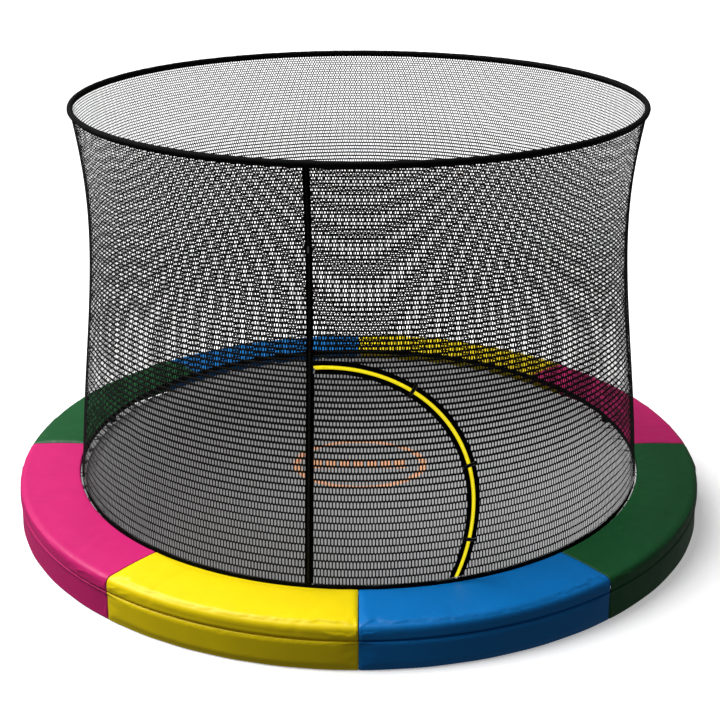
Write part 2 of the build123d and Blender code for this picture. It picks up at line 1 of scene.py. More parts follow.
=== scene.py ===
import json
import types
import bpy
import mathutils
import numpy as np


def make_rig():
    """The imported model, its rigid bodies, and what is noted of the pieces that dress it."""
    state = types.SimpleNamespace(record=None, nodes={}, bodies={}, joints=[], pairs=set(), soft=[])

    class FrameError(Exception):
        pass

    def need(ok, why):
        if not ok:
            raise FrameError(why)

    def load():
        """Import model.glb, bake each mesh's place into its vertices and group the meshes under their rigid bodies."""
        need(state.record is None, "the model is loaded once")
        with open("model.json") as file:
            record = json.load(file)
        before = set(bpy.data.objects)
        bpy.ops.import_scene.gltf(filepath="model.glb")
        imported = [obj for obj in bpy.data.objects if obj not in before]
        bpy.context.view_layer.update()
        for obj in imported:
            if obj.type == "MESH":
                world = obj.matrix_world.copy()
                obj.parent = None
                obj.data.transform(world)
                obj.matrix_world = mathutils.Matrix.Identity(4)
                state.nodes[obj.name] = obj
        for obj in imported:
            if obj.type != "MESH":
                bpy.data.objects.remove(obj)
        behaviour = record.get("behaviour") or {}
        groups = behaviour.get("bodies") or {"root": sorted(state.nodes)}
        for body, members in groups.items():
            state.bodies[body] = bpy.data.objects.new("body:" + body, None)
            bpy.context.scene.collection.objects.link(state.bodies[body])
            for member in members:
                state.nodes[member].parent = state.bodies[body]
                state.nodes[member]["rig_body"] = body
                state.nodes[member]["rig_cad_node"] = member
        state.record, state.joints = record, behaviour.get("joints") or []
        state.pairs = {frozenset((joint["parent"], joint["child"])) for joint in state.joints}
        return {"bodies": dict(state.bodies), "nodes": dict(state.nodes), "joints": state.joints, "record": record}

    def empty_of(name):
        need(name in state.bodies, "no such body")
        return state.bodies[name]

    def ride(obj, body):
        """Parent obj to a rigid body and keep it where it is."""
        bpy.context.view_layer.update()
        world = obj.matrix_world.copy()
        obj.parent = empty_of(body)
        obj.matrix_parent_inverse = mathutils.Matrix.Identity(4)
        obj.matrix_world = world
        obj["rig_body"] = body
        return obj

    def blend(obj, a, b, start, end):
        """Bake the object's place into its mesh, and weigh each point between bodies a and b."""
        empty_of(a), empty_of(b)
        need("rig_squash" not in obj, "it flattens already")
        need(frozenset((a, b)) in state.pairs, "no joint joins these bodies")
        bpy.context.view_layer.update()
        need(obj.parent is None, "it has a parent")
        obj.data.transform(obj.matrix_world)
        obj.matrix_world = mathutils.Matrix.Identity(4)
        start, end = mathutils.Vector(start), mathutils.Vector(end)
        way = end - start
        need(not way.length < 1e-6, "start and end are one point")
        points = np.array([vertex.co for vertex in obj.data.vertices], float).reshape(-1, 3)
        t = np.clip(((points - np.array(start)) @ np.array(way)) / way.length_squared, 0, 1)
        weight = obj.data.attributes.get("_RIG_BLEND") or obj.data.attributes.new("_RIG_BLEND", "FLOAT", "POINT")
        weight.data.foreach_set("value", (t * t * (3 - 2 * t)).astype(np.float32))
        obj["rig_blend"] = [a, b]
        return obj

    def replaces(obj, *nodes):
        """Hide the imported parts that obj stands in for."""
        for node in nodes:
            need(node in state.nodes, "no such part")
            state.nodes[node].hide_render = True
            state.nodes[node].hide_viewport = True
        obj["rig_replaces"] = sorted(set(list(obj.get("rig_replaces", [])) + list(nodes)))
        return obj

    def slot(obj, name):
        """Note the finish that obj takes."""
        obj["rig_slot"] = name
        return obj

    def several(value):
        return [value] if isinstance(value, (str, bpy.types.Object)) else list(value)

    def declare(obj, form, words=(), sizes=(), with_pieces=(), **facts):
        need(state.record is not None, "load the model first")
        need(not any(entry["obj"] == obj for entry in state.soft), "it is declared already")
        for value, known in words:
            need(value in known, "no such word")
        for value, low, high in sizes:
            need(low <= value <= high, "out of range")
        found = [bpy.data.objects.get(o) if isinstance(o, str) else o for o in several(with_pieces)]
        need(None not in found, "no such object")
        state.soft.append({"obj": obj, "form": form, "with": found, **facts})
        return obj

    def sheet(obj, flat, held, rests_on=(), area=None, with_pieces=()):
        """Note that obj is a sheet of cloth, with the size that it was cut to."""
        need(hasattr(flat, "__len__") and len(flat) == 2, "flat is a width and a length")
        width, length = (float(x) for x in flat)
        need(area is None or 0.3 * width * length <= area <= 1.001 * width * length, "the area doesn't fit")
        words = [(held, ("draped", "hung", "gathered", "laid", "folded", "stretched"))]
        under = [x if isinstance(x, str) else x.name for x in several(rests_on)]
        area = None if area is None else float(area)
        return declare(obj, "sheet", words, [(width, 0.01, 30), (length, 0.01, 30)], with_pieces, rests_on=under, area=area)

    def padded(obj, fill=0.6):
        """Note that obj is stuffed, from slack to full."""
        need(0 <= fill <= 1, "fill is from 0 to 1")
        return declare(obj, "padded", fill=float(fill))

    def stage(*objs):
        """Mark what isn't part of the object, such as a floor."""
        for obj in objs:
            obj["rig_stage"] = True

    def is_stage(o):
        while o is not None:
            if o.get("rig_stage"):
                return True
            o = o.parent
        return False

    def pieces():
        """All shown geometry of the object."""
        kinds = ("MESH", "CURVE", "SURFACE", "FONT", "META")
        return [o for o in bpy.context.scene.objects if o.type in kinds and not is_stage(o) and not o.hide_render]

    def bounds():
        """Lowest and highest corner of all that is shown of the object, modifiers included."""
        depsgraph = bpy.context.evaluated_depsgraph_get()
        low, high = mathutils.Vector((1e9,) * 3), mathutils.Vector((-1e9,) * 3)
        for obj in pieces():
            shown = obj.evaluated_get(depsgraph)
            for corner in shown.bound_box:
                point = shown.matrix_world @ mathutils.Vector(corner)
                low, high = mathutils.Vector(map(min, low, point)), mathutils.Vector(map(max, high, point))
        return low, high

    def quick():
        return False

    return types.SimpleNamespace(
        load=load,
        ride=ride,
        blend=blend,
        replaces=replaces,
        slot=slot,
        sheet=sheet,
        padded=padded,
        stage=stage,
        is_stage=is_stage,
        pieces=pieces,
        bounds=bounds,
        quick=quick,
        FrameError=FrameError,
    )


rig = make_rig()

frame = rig.load()
CAD_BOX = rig.bounds()

import json

import bpy
import numpy as np
from mathutils import Vector
from numpy import arange, array, clip, column_stack, concatenate, cos, cross, degrees, exp, full, linspace
from numpy import maximum, minimum, pi, radians, sin, sqrt, stack, where, zeros

# Metres, in the CAD frame: +Z up, the front towards -Y, azimuths in degrees from the front,
# counter-clockwise seen from above. Sizes below are in millimetres, and scaled by MM where they are used.
MM = 0.001
SEED = 7

# ---- places shared with the CAD
OUTER_R = 1525.0
PAD_INNER_R = 1259.0
PAD_SEAMS = (0, 39.5, 92.3, 135, 180, 222, 267.7, 320.5, 360)
PADS = (
    ("pad_front_right", "blue"), ("pad_right_front", "green"),
    ("pad_right_back", "pink"), ("pad_back_right", "yellow"),
    ("pad_back_left", "blue"), ("pad_left_back", "green"),
    ("pad_left_front", "pink"), ("pad_front_left", "yellow"),
)
MAT_Z, MAT_R, MAT_T = 149.0, 1236.0, 1.2
SPRINGS, SECTORS = 60, 12
RING_BASE_X, RING_HALF_BASE, RING_APEX_X = 1251.0, 22.0, 1298.0
RAIL_R, RAIL_Z = 1465.0, 138.0
HOOP_R, HOOP_Z = 1190.0, 1799.0
NET_PROFILE = (
    (158.0, 1251.0), (540.0, 1218.0), (1000.0, 1167.0),
    (1360.0, 1147.0), (1580.0, 1159.0), (1786.5, 1188.5),
)
HEM_Z = (171.0, 196.0)
STRIP_LEFT, STRIP_RIGHT = -9.38, -8.1
HINGE_AZ = -8.0
DOOR_LEFT = -7.9
DOOR_X, DOOR_Z = -100.0, 490.0
DOOR_W, DOOR_UP, DOOR_DOWN = 533.0, 555.0, 620.0
DOOR_HEM_Z = 201.0
ZIP_GAP, ZIP_HALF_W, BINDING_W = 0.75, 6.8, 17.7
BED_START, BED_END = 1440.0, 250.0  # the springs and the mat bend between these radii
DOOR_FOLD = 80.0  # the door's cloth turns with the door within this width from the strip


# ---- curves and the net's surface
def natural_spline(knots):
    """Smooth curve through (place, value) knots, as a function of the place."""
    x, y = (array(column, float) for column in zip(*knots))
    h = np.diff(x)
    n = len(x)
    system, right = np.eye(n), zeros(n)
    for i in range(1, n - 1):
        system[i, i - 1 : i + 2] = h[i - 1], 2 * (h[i - 1] + h[i]), h[i]
        right[i] = 6 * ((y[i + 1] - y[i]) / h[i] - (y[i] - y[i - 1]) / h[i - 1])
    bend = np.linalg.solve(system, right)

    def value(at):
        at = np.asarray(at, float)
        i = clip(np.searchsorted(x, at) - 1, 0, n - 2)
        a, b = (x[i + 1] - at) / h[i], (at - x[i]) / h[i]
        cubic = ((a**3 - a) * bend[i] + (b**3 - b) * bend[i + 1]) * h[i] ** 2 / 6
        return a * y[i] + b * y[i + 1] + cubic

    return value


net_middle = natural_spline(NET_PROFILE)


def smooth(at, low, high):
    t = clip((at - low) / (high - low), 0, 1)
    return t * t * (3 - 2 * t)


def stacked(x, y, z):
    """Points from coordinates that may be grids, lines or numbers."""
    return stack(np.broadcast_arrays(x, y, z), axis=-1)


def polar(az, radius, z):
    a = radians(az)
    return stacked(radius * sin(a), -radius * cos(a), z)


def wrapped(az):
    return (np.asarray(az, float) + 180) % 360 - 180


def ripple(az, z):
    """Slack waves in the net, none at its hems nor in front, where the zips are."""
    a = wrapped(az)
    away = smooth(np.abs(a - 6), 26, 48)
    height = smooth(z, 200, 420) * (1 - smooth(z, 1560, 1770))
    t = radians(a)
    waves = sin(11 * t + z / 420) + 0.7 * sin(23 * t - z / 610 + 1) + 0.5 * sin(41 * t + 2)
    return 2.2 * away * height * waves


def net_point(az, z, lift):
    """Point on the net at a height above its middle surface."""
    return polar(az, net_middle(z) + ripple(az, z) + lift, z)


def zip_ring(turn, offset, lift):
    """Point on the net at a turn round the door's zip, at an offset outwards from the zip's line."""
    t = radians(turn)
    rise = where(sin(t) > 0, DOOR_UP, DOOR_DOWN)
    x = DOOR_X + (DOOR_W + offset) * cos(t)
    z = DOOR_Z + (rise + offset) * sin(t)
    return net_point(degrees(np.arcsin(x / net_middle(z))), z, lift)


def zip_span(offset, left):
    """First and last turn of a line round the zip: at the hem, and at the strip's azimuth."""
    first = degrees(np.arcsin((DOOR_HEM_Z - DOOR_Z) / (DOOR_DOWN + offset)))
    last = 95.0
    for _ in range(4):
        z = DOOR_Z + (DOOR_UP + offset) * sin(radians(last))
        last = degrees(np.arccos((net_middle(z) * sin(radians(left)) - DOOR_X) / (DOOR_W + offset)))
    return first, last


# ---- meshes
def added(name, data):
    """New object in the scene."""
    obj = bpy.data.objects.new(name, data)
    bpy.context.scene.collection.objects.link(obj)
    return obj


def piece(name, points, faces, material, slot, uv=None):
    """Mesh object from points in millimetres; faces is a list of arrays of triangles or quads."""
    points = np.asarray(points, float).reshape(-1, 3) * MM
    volume = 0.0
    for f in faces:
        for k in range(1, f.shape[1] - 1):
            a, b, c = points[f[:, 0]], points[f[:, k]], points[f[:, k + 1]]
            volume += (a * cross(b, c)).sum()
    if volume < 0:
        faces = [f[:, ::-1] for f in faces]
    corners = concatenate([f.ravel() for f in faces])
    sizes = concatenate([full(len(f), f.shape[1]) for f in faces])
    mesh = bpy.data.meshes.new(name)
    mesh.vertices.add(len(points))
    mesh.vertices.foreach_set("co", points.astype(np.float32).ravel())
    mesh.loops.add(len(corners))
    mesh.loops.foreach_set("vertex_index", corners.astype(np.int32))
    mesh.polygons.add(len(sizes))
    mesh.polygons.foreach_set("loop_start", (np.cumsum(sizes) - sizes).astype(np.int32))
    mesh.polygons.foreach_set("use_smooth", full(len(sizes), True))
    mesh.update(calc_edges=True)
    if uv is not None:
        layer = mesh.uv_layers.new(name="UVMap")
        layer.data.foreach_set("uv", (uv[corners] * MM).astype(np.float32).ravel())
    mesh.materials.append(mats[material])
    obj = added(name, mesh)
    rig.slot(obj, slot)
    return obj


def grid_faces(n, m, wrap_n=False, wrap_m=False):
    i = arange(n if wrap_n else n - 1)[:, None]
    j = arange(m if wrap_m else m - 1)
    a, b, k = i * m, (i + 1) % n * m, (j + 1) % m
    return stack([a + j, b + j, b + k, a + k], axis=-1).reshape(-1, 4)


def closed_shell(top, bottom, wrap=False, wrap_too=False):
    """Points and quads of a thin closed piece between two grids, which may close on themselves."""
    n, m = top.shape[:2]
    grid = grid_faces(n, m, wrap, wrap_too)
    index = arange(n * m).reshape(n, m)
    if not wrap:
        rims = [concatenate([index[0], index[1:, -1], index[-1, -2::-1], index[-2:0:-1, 0]])]
    else:
        rims = [] if wrap_too else [index[:, -1], index[::-1, 0]]
    faces = [grid, n * m + grid[:, ::-1]]
    for rim in rims:
        after = np.roll(rim, -1)
        faces.append(stack([rim, after, after + n * m, rim + n * m], axis=-1))
    return concatenate([top.reshape(-1, 3), bottom.reshape(-1, 3)]), [concatenate(faces)]


def lengths(points, axis):
    """Distance along a grid's lines, for its UVs."""
    steps = np.diff(points, axis=axis, prepend=np.take(points, [0], axis))
    return np.cumsum(np.linalg.norm(steps, axis=-1), axis=axis)


def shell_piece(name, top, bottom, material, slot, wrap=False, wrap_too=False):
    points, faces = closed_shell(top, bottom, wrap, wrap_too)
    uv = stack([lengths(top, 0), lengths(top, 1)], axis=-1).reshape(-1, 2)
    return piece(name, points, faces, material, slot, concatenate([uv, uv]))


def slab(name, az, radius, high, low, material, slot, wrap=False):
    """Piece between two heights, over a grid of azimuths and radii."""
    grids = (polar(az[:, None], radius, z) for z in (high, low))
    return shell_piece(name, *grids, material, slot, wrap)


def loft(rings, tips):
    """Rings of points joined in a row, with a fan to a tip at each end."""
    n, m = rings.shape[:2]
    j = arange(m)
    k, end = (j + 1) % m, (n - 1) * m
    fans = [[full(m, n * m), j, k], [full(m, n * m + 1), end + k, end + j]]
    fans = concatenate([stack(fan, axis=-1) for fan in fans])
    return concatenate([rings.reshape(-1, 3), tips]), [grid_faces(n, m, False, True), fans]


def tube(path, radius, sides, closed=False):
    """Points and faces of a wire along a path, with rounded ends where it isn't closed."""
    path = np.asarray(path, float)
    ahead = np.roll(path, -1, 0) - np.roll(path, 1, 0)
    if not closed:
        ahead[0], ahead[-1] = path[1] - path[0], path[-1] - path[-2]
    ahead = unit(ahead)
    side = np.zeros_like(ahead)
    side[0] = unit(cross(ahead[0], (0.3, 0.5, 0.81)))
    for i in range(1, len(path)):
        side[i] = unit(side[i - 1] - ahead[i] * (side[i - 1] @ ahead[i]))
    up = cross(ahead, side)
    turn = (arange(sides) * 2 * pi / sides)[:, None]
    rings = path[:, None] + radius * (cos(turn) * side[:, None] + sin(turn) * up[:, None])
    if closed:
        return rings.reshape(-1, 3), [grid_faces(len(path), sides, True, True)]
    outward = ahead[[0, -1]] * [[-radius], [radius]]
    ends = path[[0, -1], None] + (rings[[0, -1]] - path[[0, -1], None]) * 0.6 + outward[:, None] * 0.5
    return loft(concatenate([ends[:1], rings, ends[1:]]), path[[0, -1]] + outward * 0.7)


def unit(vectors):
    return np.asarray(vectors) / np.linalg.norm(vectors, axis=-1, keepdims=True)


def joined(parts):
    """One set of points and faces from several."""
    points, faces, first = [], {}, 0
    for p, fs in parts:
        points.append(p)
        for f in fs:
            faces.setdefault(f.shape[1], []).append(f + first)
        first += len(p)
    return concatenate(points), [concatenate(f) for f in faces.values()]


def moved(part, shift):
    return part[0] + shift, part[1]


def all_round(part, azimuths):
    """Copies of a part drawn at +X, turned to each azimuth."""
    points, faces = part
    copies = []
    for az in azimuths:
        a = radians(az - 90)
        matrix = array([[cos(a), -sin(a), 0], [sin(a), cos(a), 0], [0, 0, 1]])
        copies.append((points @ matrix.T, faces))
    return joined(copies)


def placed(part, origins, axes=np.eye(3)):
    """Copies of a small part, one at each origin, along axes that are shared or one set for each."""
    points, faces = part
    x, y, z = (np.broadcast_to(axis, origins.shape)[:, None] for axis in axes)
    spots = origins[:, None] + points[:, :1] * x + points[:, 1:2] * y + points[:, 2:] * z
    shift = arange(len(origins))[:, None, None] * len(points)
    return spots.reshape(-1, 3), [(f[None] + shift).reshape(-1, f.shape[1]) for f in faces]


def frames_along(path):
    """Axes along a line on the net: across it, along it and out of it."""
    ahead = unit(np.gradient(path, axis=0))
    across = unit(cross(ahead, path * (1, 1, 0)))
    return across, ahead, cross(across, ahead)


def spaced(path, step):
    """The line again, with points one step apart."""
    along = lengths(path, 0)
    at = arange(step / 2, along[-1], step)
    return stack([np.interp(at, along, values) for values in path.T], axis=1)


def blob(x, y, z):
    """Small rounded block of that size, standing on z = 0."""
    corner = array([(1, 0.55), (0.55, 1), (-0.55, 1), (-1, 0.55)])
    ring = concatenate([corner, -corner]) * (x / 2, y / 2)
    levels = ((0, 0.86), (0.25, 1), (0.75, 0.94), (1, 0.6))
    points = concatenate([column_stack([ring * share, full(8, z * up)]) for up, share in levels])
    ends = array([[0, 1, 2, 3], [0, 3, 4, 7], [4, 5, 6, 7]])
    return points, [concatenate([grid_faces(4, 8, False, True), ends, ends[:, ::-1] + 24])]


def stitches(path, length, pitch, thick=1.1):
    """Row of raised thread stitches along a line."""
    path = spaced(path, pitch)
    return placed(blob(thick, length, thick * 0.7), path, frames_along(path))


# ---- materials
mats = {}


def scaled(colour, by=1.0):
    """Colour, or grey from one number, made lighter or darker."""
    colour = colour if hasattr(colour, "__len__") else (colour,) * 3
    return tuple(min(1.0, c * by) for c in colour)


class Surface:
    """A material being made: its nodes and the inputs of its Principled shader."""

    def __init__(self, name, colour, roughness, glow=0.0, **numbers):
        made = mats[name] = bpy.data.materials.new(name)
        made.use_nodes = True
        self.colour, self.tree = colour, made.node_tree
        self.inputs = self.tree.nodes["Principled BSDF"].inputs
        numbers.update(Roughness=roughness, Emission_Strength=glow, Emission_Color=(*scaled(colour), 1))
        for key, value in numbers.items():
            self.inputs[key.replace("_", " ")].default_value = value

    def node(self, kind, links, output=0, **settings):
        """Adds a shader node and gives one output; links maps inputs to values or other outputs."""
        made = self.tree.nodes.new(kind)
        for key, value in settings.items():
            setattr(made, key, value)
        for key, value in links.items():
            if isinstance(value, bpy.types.NodeSocket):
                self.tree.links.new(value, made.inputs[key])
            else:
                made.inputs[key].default_value = value
        return made.outputs[output]

    def feed(self, key, value):
        self.tree.links.new(value, self.inputs[key])

    def calc(self, operation, a, b=0.0):
        return self.node("ShaderNodeMath", {0: a, 1: b}, operation=operation)

    def place(self):
        """The piece's own coordinates in metres."""
        return self.node("ShaderNodeTexCoord", {}, "Object")

    def split(self, vector):
        return self.node("ShaderNodeSeparateXYZ", {0: vector}).node.outputs[:2]

    def noise(self, scale, detail=3.0, rough=0.55, stretch=None):
        """Noise over the piece's own place, drawn out along an axis by a stretch below 1."""
        place = self.place()
        if stretch:
            place = self.node("ShaderNodeMapping", {"Vector": place, "Scale": stretch})
        links = {"Vector": place, "Scale": scale, "Detail": detail, "Roughness": rough}
        return self.node("ShaderNodeTexNoise", links, "Fac")

    def cells(self, scale, output, **settings):
        return self.node("ShaderNodeTexVoronoi", {"Vector": self.place(), "Scale": scale}, output, **settings)

    def two_tone(self, factor, low, high, colour=1.0):
        """Ramp between two shares of a colour, or two greys."""
        ramp = self.node("ShaderNodeValToRGB", {"Fac": factor})
        for element, place, share in zip(ramp.node.color_ramp.elements, (0.3, 0.7), (low, high)):
            element.position = place
            element.color = (*scaled(colour, share), 1)
        return ramp

    def tone(self, source, low, high):
        self.feed("Base Color", self.two_tone(source, low, high, self.colour))

    def shade(self, colour, scale, least):
        """Base colour with a slow change of shade."""
        links = {"Factor": 1.0, 6: colour, 7: self.two_tone(self.noise(scale), least, 1.0)}
        mixed = self.node("ShaderNodeMix", links, 2, data_type="RGBA", blend_type="MULTIPLY")
        self.feed("Base Color", mixed)

    def gloss(self, source, low, high):
        self.feed("Roughness", self.two_tone(source, low, high))

    def relief(self, height, strength, distance):
        """Feeds a height to the shader's normal, on top of what is there already."""
        links = {"Height": height, "Strength": strength, "Distance": distance}
        for link in self.inputs["Normal"].links:
            links["Normal"] = link.from_socket
        self.feed("Normal", self.node("ShaderNodeBump", links))

    def weave(self, vector, pitch, twill=0.0):
        """Over-and-under height of a woven cloth."""
        u, v = (self.calc("MULTIPLY", part, 2 * pi / pitch) for part in self.split(vector))
        if twill:
            v = self.calc("ADD", v, self.calc("MULTIPLY", u, twill))
        wave = self.calc("MULTIPLY", self.calc("SINE", u), self.calc("SINE", v))
        return self.calc("ADD", self.calc("MULTIPLY", wave, 0.5), 0.5)


def cloth(name, colour, roughness, pitch, painted_weave_shade=0.25, twill=0.0, sheen=0.0, shine=0.25, glow=0.0):
    """Woven cloth: painted shade in the weave's hollows and painted light on its crowns, a slow change of shade, and
    the weave's relief.
    """
    made = Surface(name, colour, roughness, glow, Sheen_Weight=sheen, Specular_IOR_Level=shine)
    height = made.weave(made.node("ShaderNodeUVMap", {}, uv_map="UVMap"), pitch, twill)
    # painted shade and painted light: the cloth's tone is darker where the weave is low and lighter where it is high
    made.shade(made.two_tone(height, 1 - painted_weave_shade, 1 + painted_weave_shade, colour), 14.0, 0.88)
    made.relief(height, 0.5, pitch * 0.2)
    made.relief(made.noise(900.0, 2.0), 0.2, 0.0003)


def vinyl(name, colour):
    """Coated vinyl: fine leather grain, soft creases, slightly uneven gloss and faintly paler wear."""
    made = Surface(name, colour, 0.42, Specular_IOR_Level=0.22)
    made.tone(made.noise(5.0, 4.0, 0.6), 0.93, 1.03)
    made.gloss(made.noise(22.0, 4.0), 0.36, 0.47)
    made.relief(made.cells(700.0, 0, feature="DISTANCE_TO_EDGE"), 0.22, 0.0004)
    made.relief(made.noise(60.0, 3.0, 0.6), 0.12, 0.002)


def metal(name, colour, roughness, spangle=0.0):
    """Metal with uneven gloss, fine drawn lines and, for zinc, crystal spangles."""
    made = Surface(name, colour, roughness, Metallic=1.0)
    if spangle:
        source = made.node("ShaderNodeSeparateColor", {0: made.cells(1 / spangle, "Color")})
    else:
        source = made.noise(40.0, 4.0)
    made.tone(source, 0.84, 1.08)
    made.gloss(made.noise(25.0, 5.0), roughness * 0.75, roughness * 1.3)
    made.relief(made.noise(1200.0, 2.0), 0.12, 0.0002)


def plastic(name, colour, roughness, grain=2500.0, glow=0.0):
    """Moulded plastic or rubber: fine sparked grain and slightly uneven tone."""
    made = Surface(name, colour, roughness, glow, Specular_IOR_Level=0.3)
    made.tone(made.noise(30.0, 4.0), 0.8, 1.2)
    made.gloss(made.noise(60.0), roughness * 0.85, roughness * 1.15)
    made.relief(made.noise(grain, 2.0), 0.25, 0.0002)


def foam(name, colour):
    """Open-cell foam with pits, painted darker deep in each pit as painted shade."""
    made = Surface(name, colour, 0.95)
    pits = made.cells(450.0, "Distance")
    # painted shade: the foam is darker deep in each pit
    made.tone(pits, 0.75, 1.0)
    made.relief(pits, 0.7, 0.0012)


def strand(name, colour):
    """Knitted net strand: twisted yarn along the strand, with a slow change of shade."""
    made = Surface(name, colour, 0.8, Specular_IOR_Level=0.2)
    made.tone(made.noise(260.0), 0.6, 1.5)
    made.relief(made.noise(1500.0, 2.0, stretch=(1, 1, 0.3)), 0.4, 0.0004)


MAT_PITCH = 0.0042
MARK_PLACE = (0.006, -0.088)
MARK_HALF = (0.288, 0.240)
MARK_LINE = 0.055
MARK_BAR = (0.76, 0.20)
MARK_BLOCKS = 4.6  # plain blocks in the bar, in one half width of the ring
MARK_BLOCK_SHARE = 0.78  # the rest is the gap between two blocks


def printed_mat(name, colour, mark):
    """Jump mat: tight weave of flat tape yarn, and a printed ring with a plain bar across it."""
    made = Surface(name, colour, 0.62, Sheen_Weight=0.05)
    calc = made.calc
    place = made.place()
    height = made.weave(place, MAT_PITCH)
    # painted shade and painted light: the mat's tone is darker where the weave is low and lighter where it is high
    yarn = made.two_tone(height, 0.86, 1.1, colour)
    x, y = (
        calc("DIVIDE", calc("SUBTRACT", part, middle), half)
        for part, middle, half in zip(made.split(place), MARK_PLACE, MARK_HALF)
    )
    reach = calc("SQRT", calc("ADD", calc("POWER", x, 2.0), calc("POWER", y, 2.0)))
    ring = calc("LESS_THAN", calc("ABSOLUTE", calc("SUBTRACT", reach, 1.0)), MARK_LINE)
    along, across = (calc("LESS_THAN", calc("ABSOLUTE", p), b) for p, b in zip((x, y), MARK_BAR))
    block = calc("FRACT", calc("ADD", calc("MULTIPLY", x, MARK_BLOCKS), 0.5))
    bar = calc("MULTIPLY", across, calc("LESS_THAN", block, MARK_BLOCK_SHARE))
    printed = calc("MAXIMUM", ring, calc("MULTIPLY", along, bar))
    worn = made.node("ShaderNodeRGBToBW", {0: made.two_tone(made.noise(300.0), 0.82, 1.0)})
    links = {"Factor": calc("MULTIPLY", printed, worn), 6: yarn, 7: (*mark, 1)}
    mixed = made.node("ShaderNodeMix", links, 2, data_type="RGBA")
    made.shade(mixed, 3.0, 0.92)
    made.relief(height, 0.5, 0.0005)


for name, colour in {
    "yellow": (0.94, 0.72, 0.003),
    "blue": (0.002, 0.175, 0.53),
    "green": (0.010, 0.092, 0.026),
    "pink": (0.63, 0.018, 0.168),
}.items():
    vinyl(f"vinyl_{name}", colour)
    cloth(f"thread_{name}", scaled(colour, 0.35), 0.7, 0.0012)
metal("galvanised_steel", (0.56, 0.58, 0.60), 0.42, 0.012)
metal("zinc_screw", (0.62, 0.62, 0.58), 0.34)
metal("spring_steel", (0.70, 0.71, 0.72), 0.3)
metal("ring_steel", (0.22, 0.22, 0.225), 0.5)
metal("zip_slider_metal", (0.30, 0.30, 0.31), 0.4)
metal("zip_slider_black", 0.02, 0.5)
plastic("foot_rubber", (0.03, 0.03, 0.031), 0.75, 1800.0)
plastic("hook_plastic", (0.035, 0.035, 0.036), 0.45)
plastic("fibreglass_rod", (0.80, 0.76, 0.58), 0.4, 900.0)
printed_mat("jump_mat_weave", (0.38, 0.38, 0.385), (0.93, 0.44, 0.22))
cloth("rim_webbing", (0.36, 0.36, 0.365), 0.75, 0.003, 0.3, 1.0)
cloth("black_webbing", 0.010, 0.85, 0.003, 0.4, 1.0)
cloth("hem_webbing", 0.003, 0.8, 0.0028, 0.5, 1.0, shine=0.08)
cloth("sleeve_cloth", 0.003, 0.8, 0.0016, 0.5, shine=0.1)
cloth("zip_tape_black", 0.0015, 0.85, 0.002, 0.5, 1.0, shine=0.06)
# painted light: the yellow zip's tape, teeth and slider glow, so that they stay bright on the net's shaded front
ZIP_PAINTED_LIGHT = 0.6
cloth("zip_tape_yellow", (0.95, 0.80, 0.012), 0.6, 0.002, 0.12, 1.0, glow=ZIP_PAINTED_LIGHT)
plastic("zip_coil_black", 0.003, 0.7)
plastic("zip_coil_yellow", (0.95, 0.80, 0.015), 0.4, glow=ZIP_PAINTED_LIGHT)
plastic("zip_slider_yellow", (0.90, 0.74, 0.012), 0.35, glow=ZIP_PAINTED_LIGHT)
cloth("hook_and_loop", 0.008, 0.95, 0.0011, 0.6, 0.0, 0.5)
cloth("pad_backing_weave", (0.045, 0.045, 0.05), 0.75, 0.004, 0.35)
cloth("elastic_ribs", (0.02, 0.02, 0.021), 0.8, 0.0025, 0.5)
foam("white_foam", (0.82, 0.81, 0.74))
strand("net_strand", 0.006)
cloth("thread_black", 0.003, 0.8, 0.0012, shine=0.08)
cloth("thread_grey", (0.42, 0.42, 0.43), 0.65, 0.0012)
cloth("thread_light", (0.55, 0.5, 0.42), 0.65, 0.0012)


# ---- CAD nodes that stay, with their materials, and the ways other pieces take their places
KEPT = {
    "foot_caps": "foot_rubber",
    "frame_screws": "zinc_screw",
    "hoop_rods": "fibreglass_rod",
    "hoop_ferrules": "galvanised_steel",
    "main_zip_stops": "zip_slider_black",
    "main_zip_slider": "zip_slider_black",
    "main_zip_pull": "zip_slider_metal",
    "door_zip_slider": "zip_slider_yellow",
    "door_zip_pull": "zip_slider_yellow",
}
for name, obj in frame["nodes"].items():
    rail = name.startswith(("frame_rail", "frame_joint"))
    kind = "galvanised_steel" if rail else KEPT.get(name)
    if kind:
        obj.data.materials.clear()
        obj.data.materials.append(mats[kind])


def stands_for(obj, old):
    if old:
        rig.replaces(obj, old)
    return obj


def fixed(obj, old=None, body="base"):
    """The piece rides one body, in place of a CAD node if it stands for one."""
    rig.ride(stands_for(obj, old), body)
    return obj


def hinged(obj, old=None):
    """The piece folds at the strip's edge when the door swings."""
    hinge = polar(HINGE_AZ, net_middle(600.0) + 6.5, 600.0)
    sideways = array([cos(radians(HINGE_AZ)), sin(radians(HINGE_AZ)), 0])
    ends = tuple(hinge * MM), tuple((hinge + sideways * DOOR_FOLD) * MM)
    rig.blend(stands_for(obj, old), "base", "door", *ends)
    return obj


def hung(obj, az, old=None):
    """The piece hangs between the frame and the mat's middle, along its own sector's line."""
    start, end = (tuple(polar(az, radius, MAT_Z) * MM) for radius in (BED_START, BED_END))
    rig.blend(stands_for(obj, old), "base", "bed", start, end)
    return obj


